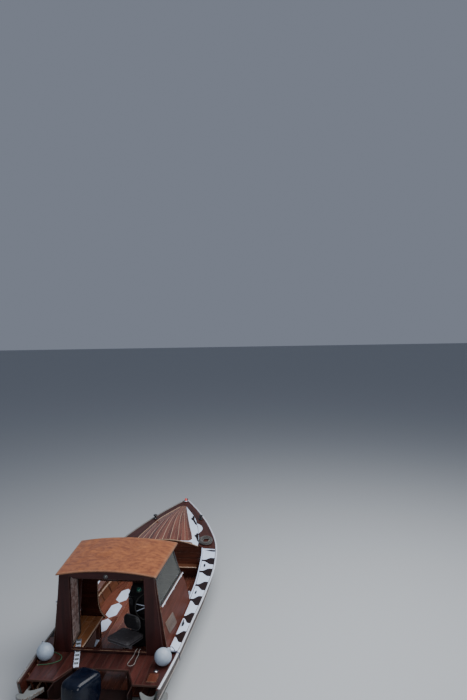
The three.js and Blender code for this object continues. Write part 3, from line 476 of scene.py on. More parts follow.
# %% Hull paint with its weed line
def hull_recipe(start):
    spot = place(start)
    run = attribute(start, "grain", "vector")
    height = spot.axis(2)
    ragged = spot.noise((3.0, 3.0, 8.0), 5.0, 0.65) * 0.09
    weed = (height - ragged).ramp(0.03, -0.035)
    scum = (height - ragged).ramp(0.1, 0.03) * (1 - weed)
    scuff = run.noise((5.0, 45.0, 45.0), 5.0, 0.7).ramp(0.58, 0.7)
    growth = spot.noise(38.0, 4.0, 0.7)
    colour = run.noise((1.3, 8.0, 8.0), 4.0).blend((0.006, 0.01, 0.01), (0.022, 0.03, 0.028))
    colour = (scuff * 0.55).blend(colour, (0.075, 0.075, 0.07))
    colour = (scum * 0.8).blend(colour, (0.1, 0.1, 0.075))
    green = growth.blend((0.01, 0.018, 0.008), (0.055, 0.075, 0.025))
    return {
        "Base Color": weed.blend(colour, green),
        "Roughness": weed * 0.35 + scuff * 0.2 + 0.42,
        "height": growth * weed * 1.5 + scuff * 0.3 + run.noise((4.0, 90.0, 90.0), 2.0) * 0.3,
        "depth": 0.002,
    }


hull_paint = finish("hull_paint", hull_recipe)
print("materials with the paints:", len(bpy.data.materials))

# %% [markdown]
# ## Metal, plastic, rubber and glass
#
# Chrome and the bright strip are worn differently: chrome pits, while aluminium is dragged along stone
# walls and scratched lengthways. The motor's cover has a deep navy lacquer with dust on top. Black
# plastic is finely pebbled, vinyl has a leather print, and the fenders are sun-dulled inflated white vinyl,
# whose blue-grey colour is painted shade with a cast of sky light.

# %% Metals
def strip_recipe(bright, worn):
    def recipe(start):
        run = attribute(start, "grain", "vector")
        scratch = run.noise((3.0, 520.0, 520.0), 3.0, 0.7)
        dull = run.noise((2.0, 12.0, 12.0), 5.0, 0.65).ramp(0.42, 0.72)
        dent = run.noise((16.0, 30.0, 30.0), 3.0)
        return {
            "Base Color": (dull * 0.4).blend(bright, worn),
            "Roughness": scratch * 0.2 + dull * 0.25 + 0.14,
            "height": scratch * 0.4 + dent * 1.0,
            "depth": 0.0008,
        }
    return recipe


def chrome_recipe(start):
    spot = place(start)
    pit = spot.noise(150.0, 2.0).ramp(0.66, 0.74)
    film = spot.noise(9.0, 4.0, 0.6).ramp(0.4, 0.8)
    return {
        "Base Color": (pit * 0.8).blend((0.8, 0.81, 0.83), (0.22, 0.15, 0.1)),
        "Roughness": film * 0.14 + pit * 0.4 + 0.07,
        "height": film * 0.2 - pit * 1.0,
        "depth": 0.0003,
    }


# The starboard strip's bluish white is partly painted sky reflection on bright metal, and the port strip's dark grey
# is painted shade.
bright_strip = finish("bright_strip", strip_recipe((0.86, 0.91, 1.0), (0.6, 0.62, 0.7)), Metallic=0.4)
dull_strip = finish("dull_strip", strip_recipe((0.24, 0.23, 0.22), (0.13, 0.12, 0.11)), Metallic=0.4)
chrome = finish("chrome", chrome_recipe, Metallic=1.0)


# %% Lacquer, plastic and rubber
def speckled_recipe(base, tint, rough, grain_scale, bump, dusty=0.3, dust_colour=(0.16, 0.15, 0.14)):
    def recipe(start):
        spot = place(start)
        pebble = spot.cells(grain_scale)
        cloud = spot.noise(6.0, 5.0, 0.65)
        dust = cloud.ramp(0.5, 0.82) * dusty
        scratch = spot.noise((60.0, 14.0, 90.0), 4.0, 0.75).ramp(0.68, 0.74)
        colour = cloud.ramp(0.3, 0.7).blend(base, tint)
        return {
            "Base Color": (dust + scratch * 0.2).blend(colour, dust_colour),
            "Roughness": dust * 0.5 + scratch * 0.25 + rough,
            "height": pebble * 0.6 - scratch * 0.3,
            "depth": bump,
        }
    return recipe


def speckled(name, *values, **fixed):
    return finish(name, speckled_recipe(*values), **fixed)


motor_lacquer = speckled("motor_lacquer", (0.002, 0.003, 0.008), (0.003, 0.006, 0.015), 0.2, 420.0, 0.0001,
    0.05, Coat_Weight=0.12, Coat_Roughness=0.1, Specular_IOR_Level=0.2)
motor_casting = speckled("motor_casting", (0.01, 0.014, 0.028), (0.022, 0.028, 0.045), 0.42, 300.0, 0.0003)
black_plastic = speckled("black_plastic", (0.008, 0.008, 0.01), (0.016, 0.016, 0.019), 0.38, 520.0, 0.0003)
black_rubber = speckled("black_rubber", (0.01, 0.01, 0.01), (0.02, 0.02, 0.02), 0.62, 260.0, 0.0003)
steel_screw = speckled("screw_heads", (0.34, 0.33, 0.32), (0.52, 0.51, 0.5), 0.32, 300.0, 0.0002,
    Metallic=0.9)
# The fenders are white; their blue-grey colour is painted shade with a cast of sky light.
fender_skin = speckled("fender_skin", (0.26, 0.32, 0.4), (0.34, 0.4, 0.48), 0.42, 240.0, 0.0003, 0.5,
    (0.24, 0.23, 0.24))
lamp_glass = speckled("lamp_glass", (0.55, 0.02, 0.012), (0.7, 0.04, 0.02), 0.12, 90.0, 0.0004, 0.2,
    Coat_Weight=0.6)


# %% Vinyl with its leather print
def vinyl_recipe(base, worn_colour):
    def recipe(start):
        spot = place(start)
        print_cells = spot.cells(260.0, feature="DISTANCE_TO_EDGE").ramp(0.0, 0.12)
        crease = spot.noise(14.0, 4.0, 0.6)
        rub = crease.ramp(0.5, 0.75)
        return {
            "Base Color": (rub * 0.5).blend(base, worn_colour),
            "Roughness": 0.52 - rub * 0.16 + print_cells * 0.05,
            "height": print_cells * 0.4 + crease * 0.8,
            "depth": 0.0009,
        }
    return recipe


seat_vinyl = finish("seat_vinyl", vinyl_recipe((0.05, 0.046, 0.052), (0.12, 0.112, 0.122)))
piping_vinyl = finish("piping_vinyl", vinyl_recipe((0.11, 0.11, 0.12), (0.22, 0.22, 0.24)))
back_vinyl = finish("back_vinyl", vinyl_recipe((0.01, 0.01, 0.012), (0.03, 0.03, 0.034)))


# %% Window glass with a film of salt
def glass_recipe(start):
    spot = place(start)
    film = spot.noise((5.0, 5.0, 9.0), 5.0, 0.7).ramp(0.35, 0.85)
    run_mark = spot.noise((60.0, 60.0, 3.0), 3.0, 0.6).ramp(0.62, 0.75)
    return {
        "Base Color": film.blend((0.022, 0.023, 0.015), (0.062, 0.063, 0.045)),
        "Roughness": film * 0.12 + 0.03,
        "Alpha": film * 0.1 + run_mark * 0.04 + 0.62,
    }


# The pane's pale pink mottle is a painted reflection of a sunlit brick wall.
def dusty_recipe(start):
    spot = place(start)
    patch = spot.noise((9.0, 9.0, 14.0), 5.0, 0.7).ramp(0.35, 0.7)
    run_mark = spot.noise((50.0, 50.0, 4.0), 3.0, 0.6).ramp(0.45, 0.7)
    return {
        "Base Color": (patch * 0.7 + run_mark * 0.3).blend((0.32, 0.22, 0.2), (0.86, 0.73, 0.69)),
        "Roughness": patch * 0.2 + 0.2,
        "Alpha": patch * 0.1 + 0.85,
    }


dusty_glass = finish("dusty_glass", dusty_recipe, Specular_IOR_Level=0.5, IOR=1.5)
window_glass = finish("window_glass", glass_recipe, Specular_IOR_Level=0.4, IOR=1.5)


# %% Laid rope
def rope_recipe(base, light):
    def recipe(start):
        run = attribute(start, "grain", "vector")
        yarn = run.noise((260.0, 900.0, 300.0), 3.0, 0.7)
        soil = run.noise(9.0, 4.0, 0.6).ramp(0.45, 0.8)
        # The grooves between strands are darkened: painted shade.
        groove_shade = attribute(start, "edge")
        colour = yarn.blend(base, light)
        colour = (soil * 0.45).blend(colour, tuple(0.45 * c + 0.02 for c in base))
        return {
            "Base Color": (groove_shade * 0.7).blend(colour, tuple(c * 0.2 for c in base)),
            "Roughness": 0.78 + yarn * 0.15,
            "height": yarn,
            "depth": 0.0005,
        }
    return recipe


blue_rope = finish("blue_rope", rope_recipe((0.01, 0.016, 0.065), (0.035, 0.055, 0.16)))
green_line = finish("green_line", rope_recipe((0.018, 0.085, 0.04), (0.06, 0.2, 0.1)))
pale_rope = finish("pale_rope", rope_recipe((0.26, 0.24, 0.22), (0.48, 0.46, 0.44)))
mooring_rope = finish("mooring_rope", rope_recipe((0.045, 0.044, 0.044), (0.2, 0.195, 0.19)))
print("finishes in all:", len(bpy.data.materials))

# %% [markdown]
# ## Floor and light
#
# The boat is afloat, so the plain floor lies level with the water and hides what is under it. A large
# soft panel stands high on the starboard side, where the sky over the canal opens, and a pale dome
# fills the shadows.

# %% Light and floor
floor_mesh = bpy.data.meshes.new("floor")
FLOOR_HALF = 60
floor_corners = [(x * FLOOR_HALF, y * FLOOR_HALF, 0) for x, y in ((-1, -1), (1, -1), (1, 1), (-1, 1))]
floor_mesh.from_pydata(floor_corners, [], [(0, 1, 2, 3)])
floor = bpy.data.objects.new("floor", floor_mesh)
bpy.context.scene.collection.objects.link(floor)
paper = bpy.data.materials.new("floor_paper")
paper.use_nodes = True
paper.node_tree.nodes["Principled BSDF"].inputs["Base Color"].default_value = (0.4, 0.42, 0.44, 1)
paper.node_tree.nodes["Principled BSDF"].inputs["Roughness"].default_value = 0.8
floor_mesh.materials.append(paper)
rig.stage(floor)
world = bpy.data.worlds.new("studio")
bpy.context.scene.world = world
world.use_nodes = True
world.node_tree.nodes["Background"].inputs["Color"].default_value = (0.72, 0.8, 1.0, 1)
world.node_tree.nodes["Background"].inputs["Strength"].default_value = 0.26


def soft_light(name, place, target, width, watts):
    data = bpy.data.lights.new(name, "AREA")
    data.shape = "RECTANGLE"
    data.size = data.size_y = width
    data.energy = watts
    light = bpy.data.objects.new(name, data)
    light.location = place
    light.rotation_euler = (Vector(target) - light.location).to_track_quat("-Z", "Y").to_euler()
    bpy.context.scene.collection.objects.link(light)


soft_light("sky", (-1, -4.5, 9.5), (0, 0, 0.5), 9, 1500)
soft_light("fill", (-9.5, -2.5, 4.2), (-1.5, 0, 0.5), 4, 260)
print("lights:", len(bpy.data.lights))

# %% [markdown]
# ## Building with boards
#
# Nearly everything on this boat is a board: a four-cornered section that is swept along a line. A board
# looks like wood only when its corners are planed off, so each corner becomes a small chamfer with a
# support line on either side. The sweep also writes down where the grain runs. That is easier in plain
# mesh code than with modifiers, because the planks follow the hull's own curves.

# %% Gather faces into one piece
class Pile:
    def __init__(self):
        self.points, self.faces, self.coats = [], [], []
        self.grain, self.tone, self.edge = [], [], []

    def add(self, points, faces, grain=None, tone=0.0, edge=0.0, coat=0):
        start = len(self.points)
        count = len(points)
        if inside_out(points, faces):
            faces = [face[::-1] for face in faces]
        self.points += [Vector(p) for p in points]
        self.grain += [Vector(g) for g in (grain or points)]
        self.tone += [tone] * count
        self.edge += list(edge) if isinstance(edge, (list, tuple)) else [edge] * count
        self.faces += [[start + i for i in face] for face in faces]
        self.coats += [coat] * len(faces)
        return self

    def skin(self, rings, caps=True, offset=0.0, tone=0.0, edge=None, coat=0, closed=True):
        """Quads between rings of equally many points. The grain runs from ring to ring."""
        n = len(rings[0])
        points, grain, run = [], [], 0.0
        middles = [sum((Vector(p) for p in ring), Vector()) / n for ring in rings]
        for k, ring in enumerate(rings):
            run += (middles[k] - middles[k - 1]).length if k else 0.0
            around = 0.0
            for i, point in enumerate(ring):
                around += (Vector(point) - Vector(ring[i - 1])).length if i else 0.0
                points.append(point)
                grain.append((run + offset, around + offset * 3.7, offset * 1.3))
        last = n if closed else n - 1
        faces = [(k * n + i, k * n + (i + 1) % n, (k + 1) * n + (i + 1) % n, (k + 1) * n + i)
            for k in range(len(rings) - 1) for i in range(last)]
        if caps:
            end = (len(rings) - 1) * n
            faces += [tuple(range(n))[::-1], tuple(end + i for i in range(n))]
        return self.add(points, faces, grain, tone, (edge or [0.0] * n) * len(rings), coat)

    def board(self, rows, chamfer=0.003, margin=0.007, offset=None, tone=None, coat=0):
        """A board through rows of four corners, with every long corner and both ends planed off."""
        dice = random.Random(len(self.points) * 7 + len(rows))
        offset = dice.uniform(0, 40) if offset is None else offset
        tone = dice.uniform(0, 1) if tone is None else tone
        rings = []
        for row in rows:
            row = [Vector(p) for p in row]
            ring = []
            for k in range(4):
                for other, order in ((k - 1, (margin, 0.0)), ((k + 1) % 4, (0.0, margin))):
                    side = row[other] - row[k]
                    limit = side.length * 0.48
                    for extra in order:
                        ring.append(row[k] + side.normalized() * min(chamfer + extra, limit))
            rings.append(ring)
        worn = [0.0, 1.0, 1.0, 0.0] * 4
        first, last = (self.ended(*pair, chamfer) for pair in ((rings[0], rings[1]), (rings[-1], rings[-2])))
        rings = first + rings[1:-1] + last[::-1]
        return self.skin(rings, True, offset, tone, worn, coat)

    @staticmethod
    def ended(ring, following, chamfer):
        middle = sum(ring, Vector()) / len(ring)
        onward = (sum(following, Vector()) / len(ring) - middle).normalized()
        shrink = [p + (middle - p).normalized() * min(chamfer, (middle - p).length * 0.5) for p in ring]
        return [shrink, [p + onward * chamfer for p in ring]]

    def tube(self, path, radius, sides=10, coat=0, tone=0.0, flat_ends=False):
        """A round bar along a path, with domed ends. The radius may change from point to point."""
        path = [Vector(p) for p in path]
        radii = radius if isinstance(radius, list) else [radius] * len(path)
        rings = []
        ways = directions(path)
        if not flat_ends:
            for step in (0.3, 0.8):
                rings.append(circle(path[0] - ways[0][0] * radii[0] * (1 - step), ways[0],
                    radii[0] * step ** 0.5, sides))
        rings += [circle(p, way, r, sides) for p, way, r in zip(path, ways, radii)]
        if not flat_ends:
            for step in (0.8, 0.3):
                rings.append(circle(path[-1] + ways[-1][0] * radii[-1] * (1 - step), ways[-1],
                    radii[-1] * step ** 0.5, sides))
        return self.skin(rings, True, 0.0, tone, None, coat)

    def lathe(self, profile, place=None, sides=24, coat=0, tone=0.0, edge=None):
        """A turned shape from pairs of radius and height, from the bottom to the top."""
        place = place or Matrix()
        rings = [[place @ Vector((r * cos(a), r * sin(a), z)) for a in turns(sides)] for r, z in profile]
        return self.skin(rings, True, 0.0, tone, edge, coat)

    def plate(self, outline, low, high, to_world, chamfer=0.002, holes=(), coat=0, tone=0.0, offset=0.0):
        """A flat board of any outline. to_world bends each of its points (a, b, height) into place."""
        loops = [rightwards(outline, True)] + [rightwards(hole, False) for hole in holes]
        levels = [(low, chamfer), (low + chamfer, 0.0), (high - chamfer, 0.0), (high, chamfer)]
        points, grain, worn, faces = [], [], [], []
        starts = []
        for loop in loops:
            starts.append(len(points))
            rings = [drawn_in(loop, inset) for z, inset in levels] + [drawn_in(loop, chamfer + 0.006)]
            for ring, z in zip(rings, [z for z, inset in levels] + [high]):
                points += [to_world(a, b, z) for a, b in ring]
                grain += [(a + offset, b + offset * 1.7, z) for a, b in ring]
                worn += [1.0 if z > low + chamfer * 0.5 else 0.3] * len(ring)
            n = len(loop)
            worn[-n:] = [0.0] * n
            faces += [(starts[-1] + k * n + i, starts[-1] + k * n + (i + 1) % n,
                starts[-1] + (k + 1) * n + (i + 1) % n, starts[-1] + (k + 1) * n + i) for k in range(4)
                for i in range(n)]
        for level, flip in ((0, True), (4, False)):
            flat, where = [], []
            for loop, start in zip(loops, starts):
                ring = drawn_in(loop, levels[0][1] if level == 0 else chamfer + 0.006)
                flat.append([Vector((a, b, 0)) for a, b in ring])
                where += [start + level * len(loop) + i for i in range(len(loop))]
            for triangle in tessellate_polygon(flat):
                face = [where[i] for i in triangle]
                a, b, c = (sum(flat, [])[i] for i in triangle)
                upward = (b - a).cross(c - a).z > 0
                faces.append(face if upward != flip else face[::-1])
        return self.add(points, faces, grain, tone, worn, coat)

    def mirrored(self):
        """The same piece on the other side of the boat, its faces turned back out."""
        other = Pile()
        other.points = [Vector((p.x, -p.y, p.z)) for p in self.points]
        other.faces = [face[::-1] for face in self.faces]
        other.coats, other.tone, other.edge = list(self.coats), list(self.tone), list(self.edge)
        other.grain = [g + Vector((11.3, 5.1, 0)) for g in self.grain]
        return other

    def straight(self, axis, stops, low, high, *planed, **facts):
        """A straight board along one axis, from the low to the high corner of the other two."""
        return self.board([square(axis, stop, low, high) for stop in stops], *planed, **facts)

    def both(self, name, finishes, stands_for=None, starboard=None, **facts):
        """This piece to port and its mirror image to starboard, where its finish may be another."""
        for side, pile, made_of in (("port", self, finishes), ("starboard", self.mirrored(),
                starboard or finishes)):
            nodes = [stands_for.format(side)] if stands_for else ()
            pile.build(name.format(side), made_of, stands_for=nodes, **facts)

    def build(self, name, finishes, body="hull", stands_for=(), slot=None, sharp=35):
        mesh = bpy.data.meshes.new(name)
        mesh.from_pydata([p[:] for p in self.points], [], self.faces)
        for material in finishes if isinstance(finishes, list) else [finishes]:
            mesh.materials.append(material)
        mesh.polygons.foreach_set("material_index", self.coats)
        mesh.attributes.new("grain", "FLOAT_VECTOR", "POINT").data.foreach_set("vector",
            [c for g in self.grain for c in g])
        for title, values in (("tone", self.tone), ("edge", self.edge)):
            mesh.attributes.new(title, "FLOAT", "POINT").data.foreach_set("value", values)
        mesh.validate(clean_customdata=False)
        mesh.shade_smooth()
        mesh.set_sharp_from_angle(angle=radians(sharp))
        piece = bpy.data.objects.new(name, mesh)
        bpy.context.scene.collection.objects.link(piece)
        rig.ride(piece, body)
        if stands_for:
            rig.replaces(piece, *stands_for)
        if slot:
            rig.slot(piece, slot)
        return piece


# %% [markdown]
# A few small tools go with it. A bar needs a pair of crosswise directions that don't twist along its
# path, and a plate's chamfer needs its outline drawn in by the same width all round.

# %% Directions, circles and outlines
def turns(count):
    return [2 * pi * i / count for i in range(count)]


def inside_out(points, faces):
    """True if the faces of a closed shape look inwards, which their signed volume tells."""
    middle = Vector(points[0])
    volume = 0.0
    for face in faces:
        a = Vector(points[face[0]]) - middle
        for i in range(1, len(face) - 1):
            volume += a.dot((Vector(points[face[i]]) - middle).cross(Vector(points[face[i + 1]]) - middle))
    return volume < 0


def square(axis, stop, low, high):
    """Four corners where a board crosses an axis. Low and high are corners on the other two axes."""
    (a, b), (c, d) = low, high
    return [tuple(pair[:axis]) + (stop,) + tuple(pair[axis:]) for pair in ((a, b), (c, b), (c, d), (a, d))]


def put(place, angle, axis):
    """A place whose own axes are turned about one of them."""
    return Matrix.Translation(place) @ Matrix.Rotation(angle, 4, axis)


def up(height):
    return Vector((0, 0, height))


def inside(matrix):
    """For a plate: takes its points from the axes of a place."""
    return lambda a, b, z: matrix @ Vector((a, b, z))


def head(radius, side, top, height):
    """The profile of a bolt head or a foot: upright sides and then a bevel up to its top."""
    return [(0, 0), (radius, 0), (radius, side), (top, height), (0, height)]


def knob(middle, *rings):
    """The profile of a turned ball: its middle radius, and pairs of radius and height up to its end."""
    return [(r, -z) for r, z in rings[::-1]] + [(middle, 0)] + list(rings)


def directions(path):
    """For each point of a path, the way onward and two ways across that never spin."""
    ways = []
    across = None
    for i in range(len(path)):
        onward = (path[min(i + 1, len(path) - 1)] - path[max(i - 1, 0)]).normalized()
        if across is None:
            across = onward.cross(Vector((0.31, 0.17, 0.93))).normalized()
        across = (across - onward * across.dot(onward)).normalized()
        ways.append((onward, across, onward.cross(across)))
    return ways


def circle(centre, way, radius, sides):
    return [centre + (way[1] * cos(a) + way[2] * sin(a)) * radius for a in turns(sides)]


def rightwards(loop, wanted):
    """The loop in counter-clockwise order if wanted, or else clockwise, as the edge of a hole."""
    area = sum(a[0] * b[1] - b[0] * a[1] for a, b in zip(loop, loop[1:] + loop[:1]))
    return list(loop) if (area > 0) == wanted else list(loop)[::-1]


def drawn_in(loop, inset):
    if inset == 0:
        return loop
    moved = []
    for i, here in enumerate(loop):
        here = Vector(here)
        before, after = Vector(loop[i - 1]), Vector(loop[(i + 1) % len(loop)])
        first, second = (here - before).normalized(), (after - here).normalized()
        normals = [Vector((-v.y, v.x)) for v in (first, second)]
        half = (normals[0] + normals[1]) / 2
        moved.append(here + half * min(inset / max(half.length_squared, 0.2), inset * 3))
    return [tuple(p) for p in moved]


def smooth_line(points, steps):
    """A curve through every point, with the given number of steps between each two."""
    points = [Vector(p) for p in points]
    line = []
    for i in range(len(points) - 1):
        a, b = points[max(i - 1, 0)], points[i]
        c, d = points[i + 1], points[min(i + 2, len(points) - 1)]
        for k in range(steps):
            t = k / steps
            line.append(0.5 * (2 * b + (c - a) * t + (2 * a - 5 * b + 4 * c - d) * t * t
                + (3 * b - a - 3 * c + d) * t ** 3))
    return line + [points[-1]]


def spread(low, high, count):
    return [low + (high - low) * i / count for i in range(count + 1)]


def lean(low, high, share):
    return low + (high - low) * share


def dress(node, material):
    """A node whose shape is right stays, and only gets its finish."""
    thing = frame["nodes"][node]
    thing.data.materials.clear()
    thing.data.materials.append(material)
    return thing


print("tools ready")

# %% [markdown]
# ## Ropes
#
# A laid rope is three strands twisted round each other, and at this size the twist is what the eye sees.
# So its outline is a circle with three lobes that turn as it goes along, and the grooves between the
# strands are darkened with painted shade. The lanyards hold the fenders to the strake, the green rope
# lies loose on the aft deck, the pale one hangs over the sill beam, and a mooring rope is coiled down on
# the foredeck.

# %% Ropes along listed points
LANYARD = [(-2.6706, 0.938, 0.6972), (-2.657, 0.947, 0.704), (-2.632, 0.966, 0.69), (-2.608, 0.984, 0.645),
    (-2.592, 0.998, 0.6), (-2.581, 1.009, 0.583), (-2.571, 1.026, 0.579), (-2.563, 1.046, 0.566),
    (-2.56, 1.051, 0.54), (-2.558, 1.051, 0.5), (-2.556, 1.05, 0.455)]
GREEN_ROPE = [(-2.556, 0.905, 0.507), (-2.57, 0.84, 0.507), (-2.59, 0.78, 0.507), (-2.63, 0.712, 0.507),
    (-2.694, 0.655, 0.507), (-2.765, 0.642, 0.507), (-2.828, 0.68, 0.507), (-2.88, 0.75, 0.507),
    (-2.906, 0.815, 0.507), (-2.916, 0.87, 0.507), (-2.935, 0.925, 0.507)]
BEAM_ROPE = [(-2.474, -0.455, 0.525), (-2.474, -0.455, 0.55), (-2.487, -0.455, 0.5615),
    (-2.52, -0.455, 0.565), (-2.553, -0.454, 0.5615), (-2.566, -0.452, 0.55), (-2.567, -0.45, 0.538),
    (-2.572, -0.447, 0.519), (-2.594, -0.443, 0.508), (-2.64, -0.438, 0.5055), (-2.74, -0.445, 0.5055),
    (-2.805, -0.443, 0.5055), (-2.846, -0.408, 0.5055), (-2.83, -0.366, 0.5055), (-2.78, -0.352, 0.5055),
    (-2.7, -0.362, 0.5055), (-2.64, -0.37, 0.5055), (-2.594, -0.378, 0.508), (-2.572, -0.384, 0.519),
    (-2.567, -0.39, 0.538), (-2.566, -0.396, 0.55), (-2.553, -0.402, 0.5615), (-2.52, -0.406, 0.565),
    (-2.487, -0.408, 0.5615), (-2.474, -0.41, 0.55), (-2.474, -0.41, 0.525)]


def evenly(path, step):
    """The same path with points a step apart."""
    line = smooth_line(path, 12)
    total = sum((b - a).length for a, b in zip(line, line[1:]))
    count = max(2, round(total / step))
    spaced, k, run = [line[0]], 0, 0.0
    for wanted in spread(0, total, count)[1:-1]:
        while run + (line[k + 1] - line[k]).length < wanted:
            run += (line[k + 1] - line[k]).length
            k += 1
        part = line[k + 1] - line[k]
        spaced.append(line[k] + part * ((wanted - run) / part.length))
    return spaced + [line[-1]], total


def laid_rope(name, path, diameter, material, slot, body="hull", whipping=True, **facts):
    line, length = evenly(path, diameter * 0.22)
    ways = directions(line)
    pile = Pile()
    rings, sides = [], 12
    for k, (point, way) in enumerate(zip(line, ways)):
        twist = 2 * pi * (k * 0.22) / 3.4
        ring = []
        for a in turns(sides):
            radius = diameter / 2 * (0.87 + 0.13 * cos(3 * (a - twist)))
            ring.append(point + (way[1] * cos(a) + way[2] * sin(a)) * radius)
        rings.append(ring)
    pile.skin(rings, True)
    # The edge attribute marks the grooves between strands, where shade is painted.
    for k in range(len(line)):
        twist = 2 * pi * (k * 0.22) / 3.4
        for i, a in enumerate(turns(sides)):
            pile.edge[k * sides + i] = 0.5 - 0.5 * cos(3 * (a - twist))
    if whipping:
        for end, inward in ((0, 1), (-1, -2)):
            start = line[end]
            ahead = (line[inward] - start).normalized()
            bands = [start + ahead * diameter * s for s in spread(0.15, 1.15, 6)]
            pile.tube(bands, [diameter * (0.53 if i % 2 else 0.5) for i in range(7)], 12, coat=1)
    rope = pile.build(name, [material, waxed_twine], body, slot=slot, sharp=60)
    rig.cord(rope, exit=path[0], length=length, diameter=diameter,
        path=line[:: max(1, len(line) // 500)] + [line[-1]], stiffness="limp", **facts)
    print(name, "length", round(length, 3), "m")
    return rope


waxed_twine = finish("waxed_twine", rope_recipe((0.16, 0.13, 0.09), (0.3, 0.25, 0.18)))
port_lanyard = laid_rope("port_lanyard", LANYARD, 0.01, blue_rope, "rope_blue", far_end="knot", lay="hanging")
starboard_lanyard = laid_rope("starboard_lanyard", [(x, -y, z) for x, y, z in LANYARD], 0.01, blue_rope,
    "rope_blue", far_end="knot", lay="hanging")
green_line_on_deck = laid_rope("green_line", GREEN_ROPE, 0.012, green_line, "rope_green", far_end="bare",
    lay="loose")
beam_line = laid_rope("beam_line", BEAM_ROPE, 0.009, pale_rope, "rope_light", far_end="knot", lay="hanging")
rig.replaces(port_lanyard, "fender_lanyard_port")
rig.replaces(starboard_lanyard, "fender_lanyard_starboard")
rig.replaces(green_line_on_deck, "green_rope")
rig.replaces(beam_line, "beam_rope")

# %% [markdown]
# The mooring rope is wound turn against turn, from the outside in on the deck, then back out over it,
# and in once more. Each layer lies in the hollows of the one below, so it sits a little lower than a
# whole diameter.

# %% Wind the mooring rope
COIL = (1.33, -0.775, 0.7482)
COIL_ACROSS, COIL_ALONG = 0.124, 0.095
COIL_ROPE = 0.016
COIL_STRETCH = 0.048


def coil_path():
    slope = Matrix.Rotation(-atan(COIL_ALONG), 4, "Y") @ Matrix.Rotation(atan(COIL_ACROSS), 4, "X")
    seat = Matrix.Translation(COIL) @ slope
    pitch = COIL_ROPE * 1.06
    layers = [(0.126, 0.058, 4.4, 0.0115), (0.06, 0.124, 4.4, 0.0262), (0.118, 0.075, 2.8, 0.0395)]
    line, angle = [], 0.0
    for start, end, count, height in layers:
        steps = round(count * 22)
        for k in range(steps + 1):
            t = k / steps
            rise = height if not line else lean(line[-1][2], height, 0.25)
            radius = lean(start, end, t) * (1 + 0.05 * sin(angle * 0.83 + len(line) * 0.01))
            long_way = radius * cos(angle) + COIL_STRETCH * max(-1.0, min(1.0, 1.6 * cos(angle)))
            line.append((long_way + 0.012 * sin(angle * 0.21), radius * sin(angle) + 0.01 * cos(angle * 0.17),
                rise))
            angle += 2 * pi / 22
    return [seat @ Vector(p) for p in line]


mooring_line = laid_rope("mooring_line", coil_path(), COIL_ROPE, mooring_rope, "rope_light", far_end="bare",
    lay="coiled")
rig.replaces(mooring_line, "rope_coil")

# %% [markdown]
# ## The hull's lines
#
# The hull is drawn by four lines: the deck edge and the chine seen from above, and the chine and the
# keel seen from the side. They come as a table of stations, and a smooth curve passes through each
# column. Everything on the hull asks these lines where it is, so planks, strakes and decks meet exactly.

# %% Lines of the hull
HULL = [(-3.48, 0.952, 0.784, -0.055, -0.158), (-2.6, 1.008, 0.805, -0.08, -0.2),
    (-1.6, 1.04, 0.825, -0.1, -0.23), (-0.6, 1.082, 0.84, -0.11, -0.25), (0.4, 1.083, 0.815, -0.1, -0.25),
    (1.3, 0.97, 0.665, -0.04, -0.215), (2.1, 0.697, 0.405, 0.11, -0.1), (2.7, 0.403, 0.18, 0.34, 0.13),
    (3.1, 0.165, 0.055, 0.62, 0.46), (3.3, 0.032, 0.014, 0.86, 0.78)]
STERN, BOW = -3.48, 3.3
SIDE_T, BOTTOM_T, DECK_T = 0.022, 0.028, 0.022
SIDE_CORNERS = (0, 0.35, 0.7, 1)
SHEER_HEIGHT, SHEER_SLOPE, SHEER_CURVE = 0.616, 0.05895, 0.01336


def along(rows, x, column):
    """A smooth value from a table whose rows start with x."""
    last = len(rows) - 1
    if x <= rows[0][0]:
        return rows[0][column]
    if x >= rows[last][0]:
        return rows[last][column]
    i = next(k for k in range(last + 1) if rows[k][0] > x) - 1

    def slope(k):
        a, b = rows[max(k - 1, 0)], rows[min(k + 1, last)]
        return (b[column] - a[column]) / (b[0] - a[0])

    h = rows[i + 1][0] - rows[i][0]
    t = (x - rows[i][0]) / h
    return ((2 * t ** 3 - 3 * t * t + 1) * rows[i][column] + (t ** 3 - 2 * t * t + t) * h * slope(i)
        + (3 * t * t - 2 * t ** 3) * rows[i + 1][column] + (t ** 3 - t * t) * h * slope(i + 1))


def sheer(x):
    return SHEER_HEIGHT + SHEER_SLOPE * x + SHEER_CURVE * x * x


def beam(x):
    return along(HULL, x, 1)


def side_point(x, t, out=0.0):
    """On the planking's outer face, t from 0 at the chine to 1 under the deck."""
    chine = along(HULL, x, 2)
    low = along(HULL, x, 3) + BOTTOM_T + 0.0015
    high = sheer(x) - DECK_T - 0.0015
    bulge = 0.014 * min(1.0, (beam(x) - chine) / 0.1)
    i = max(k for k in range(3) if SIDE_CORNERS[k] <= t)
    between = (t - SIDE_CORNERS[i]) / (SIDE_CORNERS[i + 1] - SIDE_CORNERS[i])
    ends = [chine + (beam(x) - chine) * c + bulge * 4 * c * (1 - c) for c in SIDE_CORNERS[i:i + 2]]
    return Vector((x, lean(*ends, between) + out, lean(low, high, t)))


def inner_half(x, z):
    low = along(HULL, x, 3) + BOTTOM_T + 0.0015
    high = sheer(x) - DECK_T - 0.0015
    t = min(max((z - low) / (high - low), 0.0), 1.0)
    return side_point(x, t).y - SIDE_T - 0.0015


def stations(low, high, step=0.1):
    return spread(low, high, max(2, round((high - low) / step)))


print("waterline beam amidships:", round(2 * side_point(0, 0.16).y, 2), "m")

# %% [markdown]
# ## Planking, bottom and keel
#
# Each side is planked with five strakes. Their seams open and close with the seasons, so they show as
# fine grooves in the paint. One skin of sections gives the whole side, and each groove is three extra
# points in every section. The inside shows bare dark wood with ribs and a pair of pale stringers.

